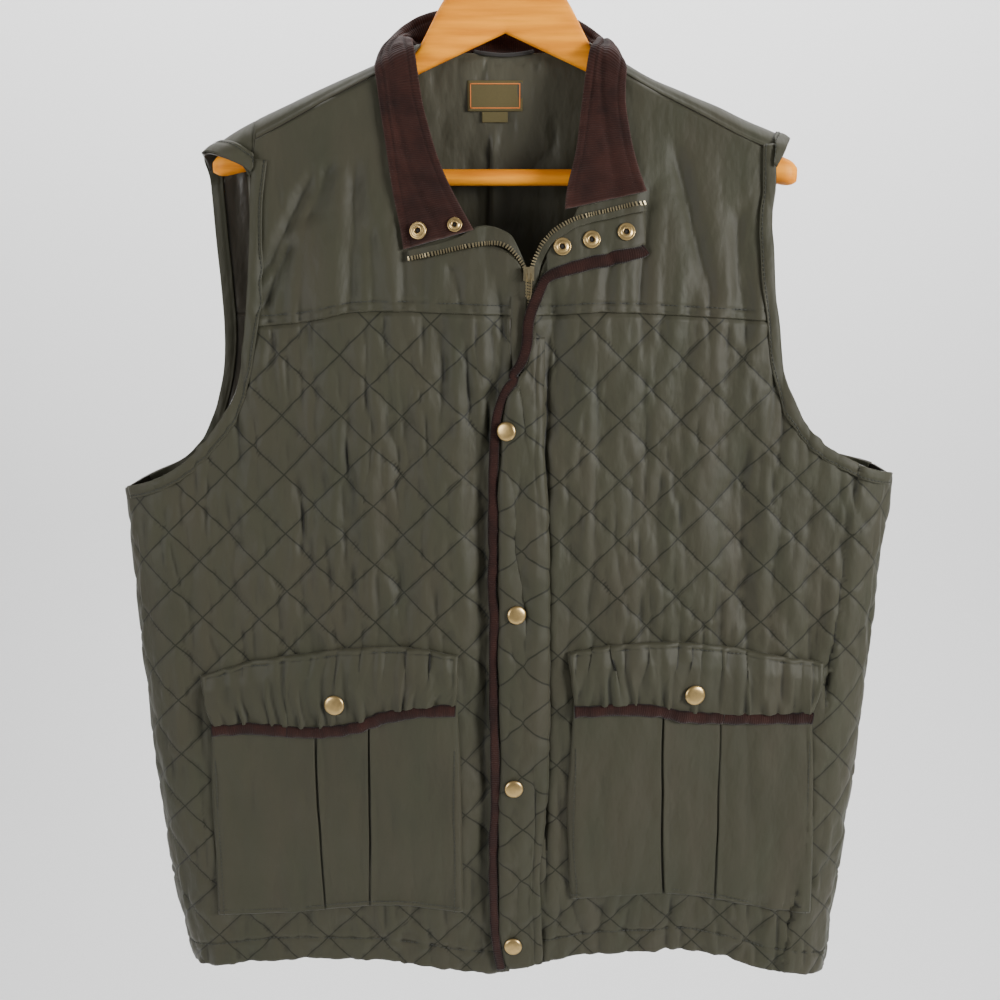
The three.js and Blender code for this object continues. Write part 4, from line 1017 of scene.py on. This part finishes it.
POCKETS = {
    "left": {
        "body": [[(-241, -822), (-183, -819), (-134, -812), (-90, -808), (-36, -813)],
                 [(-237, -641), (-190, -639), (-134, -638), (-85, -626), (-39, -618)],
                 [(-241, -822), (-241, -769), (-241, -709), (-237, -641)],
                 [(-36, -813), (-36, -770), (-36, -700), (-39, -618)]],
        "pleats": (-156, -112.5),
        "flap": [[(-236, -651.5), (-200, -649.5), (-157, -651), (-122, -646), (-94, -635.5), (-68, -630),
                  (-40, -628.5)],
                 [(-246, -611), (-198, -596.5), (-150, -588), (-120, -583.5), (-92, -581.5), (-66, -583),
                  (-37, -588.5)],
                 [(-236, -651.5), (-242, -632), (-246, -611)],
                 [(-40, -628.5), (-37, -610), (-37, -588.5)]],
        "snap": (-135, -630),
    },
    "right": {
        "body": [[(55, -801), (95, -799.5), (135, -799), (177, -806), (215, -816), (257, -821.5)],
                 [(55, -619), (92, -618), (130, -623), (175, -628), (211, -629), (249, -630)],
                 [(55, -801), (52, -750), (52, -700), (55, -619)],
                 [(257, -821.5), (256, -760), (254, -700), (249, -630)]],
        "pleats": (132, 175),
        "flap": [[(55, -630), (92, -629), (119, -631), (145, -637), (175, -639.5), (211, -640.5),
                  (250, -641.5)],
                 [(48, -587), (82, -580.5), (118, -578.5), (151, -580.5), (191, -587.5), (228, -595),
                  (258, -601)],
                 [(55, -630), (52, -610), (48, -587)],
                 [(250, -641.5), (255, -622), (258, -601)]],
        "snap": (150, -622),
    },
}
FLAP_LOW = ON_QUILT + 3.1
# Extra columns of points beside the folds of the pleats
BESIDE_FOLD = (-1.8, -1.1, -0.8, -0.4, 0, 0.4, 0.8, 1.1, 1.8)


def pockets():
    for key, pocket in POCKETS.items():
        x0, x1 = pocket["body"][0][0][0], pocket["body"][0][-1][0]
        wide = x1 - x0
        p0, p1 = ((p - x0) / wide for p in pocket["pleats"])
        fine = [p + d / wide for p in (p0, p1) for d in BESIDE_FOLD]
        cols, rows = GRID["pocket"]
        u, v = np.meshgrid(np.sort([*np.linspace(0, 1, cols), *fine]), np.linspace(0, 1, rows))
        flat = coons(*pocket["body"], u, v)
        x, z = flat[..., 0], flat[..., 1]
        from_fold = np.minimum(np.abs(u - p0), np.abs(u - p1)) * wide
        slit = smooth((1.0 - from_fold) / 0.35)
        sunk = smooth((u - p0) * wide) * smooth((p1 - u) * wide)
        lip = np.exp(-((from_fold - 2) / 2.2) ** 2)
        rim = np.minimum(np.minimum(u, 1 - u) * wide, v * 180)
        t = ON_QUILT + 2.2 - 0.5 * sunk + 0.5 * lip + 1.5 * noise(x / 30 + z / 50, z / 44, 18)
        t += 0.5 * noise(x / 11, z / 36, 19) - 2.6 * slit
        t = mix(ON_QUILT + 0.35, t, smooth(rim / 2.2))
        t -= 0.45 * np.exp(-((rim - 5) / 1.0) ** 2)
        t = np.clip(t, ON_QUILT + 0.25, ON_QUILT + 3.2)
        piece = on_wall(f"pocket cloth {key}", -1, x, z, t, ON_QUILT, "olive")
        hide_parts(f"pocket_{key}")


def flap_lift(v):
    return mix(FLAP_LOW, ON_QUILT, smooth(v * 3 - 2))


def flaps():
    for key, pocket in POCKETS.items():
        u, v = unit_grid("flap")
        flat = coons(*pocket["flap"], u, v)
        x, z = flat[..., 0], flat[..., 1]
        rim = np.minimum(np.minimum(u, 1 - u) * 205, (1 - v) * 55)
        lean = x + 5 * noise(x / 50, v * 2, 34)
        pucker = 2.8 * noise(lean / 4.2, v * 1.1, 20) * np.exp(-v * 1.7) + 1.5 * noise(lean / 7, v * 2.2, 21)
        t = flap_lift(v) + 2.2 + pucker + 0.5 * np.sin(math.pi * v)
        t = mix(flap_lift(v) + 0.5, t, smooth(rim / 2.2))
        t -= 0.55 * np.exp(-((rim - 4.5) / 1.0) ** 2)
        t = np.maximum(t, flap_lift(v) + 0.4)
        piece = on_wall(f"flap cloth {key}", -1, x, z, t, flap_lift(v) + 0.05, "olive")
        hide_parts(f"flap_{key}")
        line = spline(pocket["flap"][0], 240)
        at = np.arange(240)
        points = on_body(-1, line[:, 0], line[:, 1] - 4.0 + 0.5 * noise(at / 8, at * 0, 22),
                         FLAP_LOW + 1.5 + 0.5 * noise(at / 6, at * 0 + 2, 35))
        width = 10.2 + 1.4 * noise(at / 6, at * 0 + 5, 23)
        edge = tube(f"flap edge {key}", points, width, 3.4, (0, -1, 0), MATERIALS["corduroy"], 14)
        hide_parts(f"flap_binding_{key}")


# Armhole bindings

def binding_on_front(x, z, t):
    return on_body(-1, x, z, mix(BINDING_LOW, BINDING_LOW - 0.3, smooth((z + 345) / 18)) + t)


def binding_on_back(x, w, t):
    return on_shoulder(x, w, BINDING_LOW - 0.3 + t + 2.2 * smooth((w - 14) / 16))


def binding_inside(x, w, t):
    return on_shoulder(x, w, -0.2 - t)


def strip(name, path, side, place, seed, seam_end=0):
    """Narrow folded strip along a path, and its line of stitching; place turns flat places into points."""
    width = 10
    run = unit(np.gradient(path, axis=0))
    inward = np.stack([side * run[:, 1], -side * run[:, 0]], axis=1)
    v = np.linspace(0, 1, 12)
    flat = path[:, None] + inward[:, None] * (v * width)[None, :, None]
    if seam_end:
        flat[..., 0] = np.where(side * flat[..., 0] < seam_end, side * seam_end, flat[..., 0])
    at = np.arange(len(path))[:, None]
    puff = 0.55 * np.sin(math.pi * v)[None] + 0.25 * noise(at / 5 + 0 * v, at * 0 + v * 2, seed)
    t = 0.7 + puff * smooth(np.minimum(v, 1 - v) * 6)[None]
    t = t - 0.35 * np.exp(-((v * width - 7.5) / 0.9) ** 2)[None]
    x, level = flat[..., 0], flat[..., 1]
    piece = shell(name, place(x, level, t), place(x, level, 0.0 * t), flat, MATERIALS["olive"])
    sewn = flat[:, 9].T
    low = place(*sewn, 1.1)
    return piece, (low, place(*sewn, 2.1) - low)


CAP_END = {"left": (-233, -13), "right": (216.5, -13)}
SEAM_END = {"left": 187.6, "right": 200.8}


def armhole_bindings():
    """Strips round both armholes; returns the lines of their stitching."""
    lines = []
    for key, side in SIDES.items():
        edge = round_section(ARMHOLE_FRONT[key][1:])
        edge[0] = (edge[0][0] - side * 1.5, edge[0][1] + 16)
        piece, line = strip(f"armhole edge front {key}", spline(edge, 150), side, binding_on_front, 24)
        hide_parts(f"armhole_binding_front_{key}")
        lines.append(line)
        back = [(x, float(along_back(x, z))) for x, z in round_section(ARMHOLE_BACK[key])]
        path = spline(CAP_EDGE[key][1:] + [CAP_END[key]] + back, 170)
        piece, line = strip(f"armhole edge back {key}", path, side, binding_on_back, 25, SEAM_END[key])
        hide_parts(f"armhole_binding_back_{key}")
        lines.append(line)
        strip(f"armhole edge inside {key}", spline(back, 150), side, binding_inside, 48)
    return lines


# Zip

ZIP = {
    "left": [(-71, -282.5), (-48.4, -278), (-27.7, -273.6), (-14.3, -271.6), (-1.8, -272.4), (8, -280),
             (14.6, -289), (16.2, -297), (16.6, -305), (16.4, -314), (15.6, -326), (14, -342), (11.4, -362),
             (10.6, -385),
             (10.6, -600), (10.6, -760), (10.6, -862)],
    "right": [(101, -242.6), (76.6, -248.2), (52.5, -253.9), (40.1, -260.3), (28.6, -270.3), (22.4, -281),
              (19.4, -290), (18.6, -297), (18.6, -305), (18.4, -314), (17.6, -326), (16, -342), (13.4, -362),
              (12.6, -385), (12.6, -600), (12.6, -760), (12.6, -862)],
}
# Width of the turned-out facing of the left front over its teeth, by x
FACING = [(-72, 6.0), (-48, 6.5), (-30, 8.5), (-18, 13), (-6, 11), (3, 6.5), (10, 3), (15, 1.0)]
ZIP_TURN = {"left": (4, 12, -10), "right": (6, 21.5, 6)}
ZIP_LOW = 1.2
TOOTH_STEP = 2.15
# How far the teeth stand over their tape, by z: sunk between the tapes under the placket
TEETH_PROUD = [(-314, -0.3), (-308, 0.7), (-302, 0.7), (-297, 1.3)]


def zip_lift(key, x, z):
    height, start, rise = ZIP_TURN[key]
    return mix(ZIP_LOW, height, smooth((x - start) / rise) * smooth((z + 305) / 10))


def zips():
    for key, side in SIDES.items():
        teeth = spline(ZIP[key], 420)
        run = unit(np.gradient(teeth, axis=0))
        away = -side * np.stack([run[:, 1], -run[:, 0]], axis=1)
        closed = teeth[:, 1] < -291
        tape_of_zip(key, teeth, away, closed)
        if key == "left":
            away = np.where(closed[:, None], away, -away)
            facing(teeth[~closed], away[~closed])
        zip_teeth(key, teeth, away)


def zip_sheet(name, key, teeth, away, width, thick, material):
    v = np.linspace(0, 1, 10)
    flat = teeth[:, None] + away[:, None] * (v[None] * width[:, None])[..., None]
    x, z = flat[..., 0], flat[..., 1]
    lift = zip_lift(key, teeth[:, 0], teeth[:, 1])[:, None] + 0.4 * noise(x / 7, z / 7, 33)
    return on_wall(name, -1, x, z, lift + thick, lift - 0.5, material)


def tape_of_zip(key, teeth, away, closed):
    if key == "left":
        teeth, away = teeth[closed], away[closed]
    fan = 6.5 * smooth((teeth[:, 1] + 395) / 60) * smooth((-292 - teeth[:, 1]) / 8)
    width = 6.0 + fan * (key == "left")
    tape = zip_sheet(f"tape of zip {key}", key, teeth, away, width, 0.5, "tape")
    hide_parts(f"zip_tape_{key}")


def facing(teeth, away):
    piece = zip_sheet("facing of left front", "left", teeth, away, curve(FACING, teeth[:, 0]), 0.6, "olive")


def zip_teeth(key, teeth, away):
    """Metal teeth along the edge of the tape that meets the other side."""
    order = np.arange(len(teeth))
    pick = np.linspace(0, len(teeth) - 1, int(length_of(teeth) / TOOTH_STEP))
    line, back = sampled(teeth, order, pick), sampled(away, order, pick)
    run = unit(np.gradient(line, axis=0))
    lift = zip_lift(key, line[:, 0], line[:, 1])
    corners = []
    for k in (-0.5, 0.5):
        for edge in (line + back * 1.5, line - back * 1.6):
            for height in (lift - 0.8, lift + curve(TEETH_PROUD, line[:, 1])):
                place = edge + run * k
                corners.append(on_body(-1, place[:, 0], place[:, 1], height))
    sides = [(0, 1, 3, 2), (4, 6, 7, 5), (0, 4, 5, 1), (2, 3, 7, 6), (0, 2, 6, 4), (1, 5, 7, 3)]
    piece = boxes(f"zip teeth {key}", np.stack(corners, axis=1), sides, MATERIALS["zip"])
    for polygon in piece.data.polygons:
        polygon.use_smooth = False


# Snaps

# Profiles of radius and height
CAP = [(0.01, 2.5), (2.5, 2.45), (4.6, 2.25), (6.0, 1.9), (6.9, 1.4), (7.4, 0.8), (7.5, 0.4), (7.4, 0.0),
       (0.01, 0.0)]
SOCKET = [(2.1, 0.2), (2.1, 1.3), (2.5, 2.0), (3.2, 2.2), (4.0, 1.9), (4.6, 1.35), (5.6, 1.3), (6.3, 1.6),
          (6.8, 1.2), (7.0, 0.5), (6.9, 0.0), (2.1, 0.0), (2.1, 0.2)]
# Dark disc at the bottom of a socket's hole: painted shade
PIN_HOLE_SHADE = [(0.01, 0.55), (2.2, 0.5), (2.2, 0.1), (0.01, 0.1)]
SOCKETS = [
    # x, z, height, share of the full width
    (-63, -263, 7.1, 0.95),
    (-37, -259, 7.1, 0.8),
    (42, -274, 5.6, 0.95),
    (64, -269, 5.6, 0.95),
    (90, -263.5, 5.6, 0.95),
]


def snap(name, node_name, place, t, profile, wider=1):
    centre = on_body(-1, *place, t)
    normal = on_body(-1, *place, t + 1) - centre
    piece = turned(name, centre, normal, [(r * wider, h) for r, h in profile], MATERIALS["brass"])
    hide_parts(node_name)
    return centre, normal


def snaps():
    for i, place in enumerate(PLACKET_CAPS):
        snap(f"cap {i + 1}", f"snap_cap_{i + 1}", place, ON_QUILT + (2.3 if i else 3.6), CAP)
    for key, pocket in POCKETS.items():
        height = FLAP_LOW + WALL + 0.6
        snap(f"cap of pocket {key}", f"snap_cap_pocket_{key}", pocket["snap"], height, CAP, 1.1)
    for i, (x, z, t, wider) in enumerate(SOCKETS):
        centre, normal = snap(f"socket {i + 1}", f"snap_socket_{i + 1}", (x, z), t, SOCKET, wider)
        # Painted shade: a near-black disc at the bottom of the socket's hole
        hole_shade = turned(f"socket hole {i + 1}", centre, normal, PIN_HOLE_SHADE, MATERIALS["loop"])


# Hanger

ARMS = [
    # x, top, bottom, half thickness
    (-224, -209, -217, 3.5), (-220, -205, -219, 8), (-205, -199, -217, 11), (-185, -190, -212, 12),
    (-150, -173, -196, 10.5), (-100, -149, -166, 8.5), (-80, -138, -154, 7.5), (-67, -129, -146, 7.2),
    (-45, -92, -131, 7.2), (-20, -68, -119, 7), (0, -62, -115, 7),
]


def squared(c):
    """Turns the round of a circle into that of an arm with soft corners."""
    return np.sign(c) * np.abs(c) ** 0.72


def hanger():
    table = ARMS + [(-x, *rest) for x, *rest in ARMS[:-1][::-1]]
    x = np.concatenate([np.linspace(-224, -205, 16), np.linspace(-203, 203, 151), np.linspace(205, 224, 16)])
    top, bottom, half = (curve(table, x, c) for c in (1, 2, 3))
    bottom = np.where(np.abs(x) < 67, mix(-116.5, -146, np.abs(x) / 67), bottom)
    sag = smooth((x - 140) / 65)
    bottom, top = bottom - 7 * sag, top - 4 * sag
    turn = np.arange(32) * 2 * math.pi / 32
    y = half[:, None] * squared(np.cos(turn))[None]
    z = mix(bottom[:, None], top[:, None], 0.5 + 0.5 * squared(np.sin(turn))[None])
    rings = np.stack([np.broadcast_to(x[:, None], y.shape), y * 0.96, z], axis=-1)
    faces = grid_faces(len(x), 32, wrap=True)
    last = (len(x) - 1) * 32
    faces += [list(range(32))[::-1], [last + k for k in range(32)]]
    arms = add_mesh("hanger arms", rings.reshape(-1, 3), faces, None, MATERIALS["wood"])
    path = np.stack([np.linspace(-190, 190, 40), np.zeros(40), np.full(40, -220.5)], axis=1)
    bar = tube("trouser bar", path, 12.4, 12.4, (0, 0, 1), MATERIALS["wood"], 32)
    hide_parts("hanger")


# Label, size tab and loop

def label_patch(name, x0, x1, z0, z1, t, material):
    cols, rows = GRID["label"]
    x, z = np.meshgrid(np.linspace(x0, x1, cols), np.linspace(z0, z1, rows))
    return on_wall(name, 1, x, z, t - 0.35, t + 0.35, material)


def neck_trim():
    label = label_patch("label of neck", -29, 13.5, -170, -148, -3.3, "label")
    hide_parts("neck_label")
    tab = label_patch("tab of label", -18, 2, -178, -170.4, -3.3, "label")
    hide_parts("size_tab")
    inset, line = 2.0, 0.7
    (x0, x1), (z0, z1) = (-29 + inset, 13.5 - inset), (-170 + inset, -148 - inset)
    bars = [(x0, x1, z0, z0 + line), (x0, x1, z1 - line, z1)]
    bars += [(x0, x0 + line, z0, z1), (x1 - line, x1, z0, z1)]
    for i, sides in enumerate(bars):
        edge = label_patch(f"label border {i + 1}", *sides, -3.75, "label edge")
    path = spline([(-24, 12, -127), (-14, 9.5, -129), (0, 9, -130), (12, 9.5, -129), (22, 12, -127)], 40)
    loop = tube("loop of neck", path, 3.2, 1.2, (0, -1, 0.3), MATERIALS["loop"], 8)
    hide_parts("hanging_loop")


# Sewing

def topstitching(extra):
    lines = list(extra)
    span = {"left": (4, -196), "right": (20, 206)}
    for key, (start, end) in span.items():
        xs = np.linspace(start, end, 16)
        lines.append(body_line(-1, [(x, float(curve(YOKE_SEAM, x)) + 7.5) for x in xs], 1.3))
        outer = -318 if key == "left" else 326
        xs = np.linspace(FRONT_EDGE + SIDES[key] * 8, outer, 24)
        lines.append(body_line(-1, [(x, float(curve(HEM_FRONT, x)) + 20) for x in xs], 2.3))
    lines.append(body_line(1, [(x, HEM_BACK_Z + 16) for x in np.linspace(-290, 300, 20)], 2.2))
    for pocket in POCKETS.values():
        bottom, _, left, right = pocket["body"]
        lines.append(body_line(-1, [(x, z + 5) for x, z in bottom], ON_QUILT + 2.1))
        for edge, inset in ((left, 5), (right, -5)):
            line = [(x + inset, z) for x, z in edge[:3]]
            lines.append(body_line(-1, line + [(line[2][0], -665)], ON_QUILT + 2.1))
        lines.append(body_line(-1, [(x, z - 4.5) for x, z in pocket["flap"][1][::-1]], ON_QUILT + 1.9))
    threads = stitches("topstitching", lines, MATERIALS["thread"])


def metal_pieces():
    for name, material in (("zip_slider", "zip"), ("zip_pull", "zip"), ("hook", "steel")):
        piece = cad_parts[name]
        piece.data.materials.clear()
        piece.data.materials.append(MATERIALS[material])


# Camera, floor and light

def stage():
    mesh = bpy.data.meshes.new("backdrop")
    rows = []
    floor_z, back_y, bend = -1.75, 1.6, 0.9
    profile = [(-4, floor_z), (back_y - bend, floor_z)]
    for k in range(1, 13):
        turn = k / 12 * math.pi / 2
        profile.append((back_y - bend + bend * math.sin(turn), floor_z + bend - bend * math.cos(turn)))
    profile.append((back_y, 3.5))
    for y, z in profile:
        rows += [(-6, y, z), (6, y, z)]
    faces = [(2 * i, 2 * i + 1, 2 * i + 3, 2 * i + 2) for i in range(len(profile) - 1)]
    mesh.from_pydata(rows, [], faces)
    mesh.polygons.foreach_set("use_smooth", [True] * len(mesh.polygons))
    mesh.materials.append(plain("pale backdrop", PALE, 0.9))
    floor = bpy.data.objects.new("backdrop", mesh)
    bpy.context.scene.collection.objects.link(floor)


LIGHTS = [
    # name, place, target, size, power
    ("key", (1.75, -1.3, 0.05), (0, 0, -0.6), (0.8, 0.8), 73),
    ("fill", (-1.9, -1.4, -0.1), (0, 0, -0.5), (1.2, 1.2), 36),
    ("wall", (0, 0.55, 1.2), (0, 1.6, -0.6), (3.4, 0.8), 95),
]
ROOM_LIGHT = 0.34


def area_light(name, place, target, size, power):
    light = bpy.data.lights.new(name, "AREA")
    light.shape = "RECTANGLE"
    light.size, light.size_y = size
    light.energy = power
    lamp = bpy.data.objects.new(name, light)
    lamp.location = place
    direction = np.array(target) - np.array(place)
    distance = float(np.linalg.norm(direction))
    pitch = math.acos(-direction[2] / distance)
    lamp.rotation_euler = (pitch, 0, math.atan2(direction[1], direction[0]) - math.pi / 2)
    bpy.context.scene.collection.objects.link(lamp)


def light_and_camera():
    world = bpy.data.worlds.new("studio")
    world.use_nodes = True
    world.node_tree.nodes["Background"].inputs[0].default_value = (1, 1, 1, 1)
    world.node_tree.nodes["Background"].inputs[1].default_value = ROOM_LIGHT
    bpy.context.scene.world = world
    for row in LIGHTS:
        area_light(*row)
    camera = bpy.data.cameras.new("camera")
    camera.lens = CAMERA_LENS
    camera.sensor_width = 36
    seen = bpy.data.objects.new("camera", camera)
    seen.location = CAMERA_AT
    seen.rotation_euler = (math.radians(90 - CAMERA_PITCH), 0, 0)
    bpy.context.scene.collection.objects.link(seen)
    bpy.context.scene.camera = seen


front_panels()
back_panel()
front_yokes()
back_yoke()
back_lining()
collar()
placket()
placket_top()
placket_piping()
pockets()
flaps()
binding_lines = armhole_bindings()
zips()
snaps()
hanger()
neck_trim()
topstitching(binding_lines)
metal_pieces()
stage()
light_and_camera()
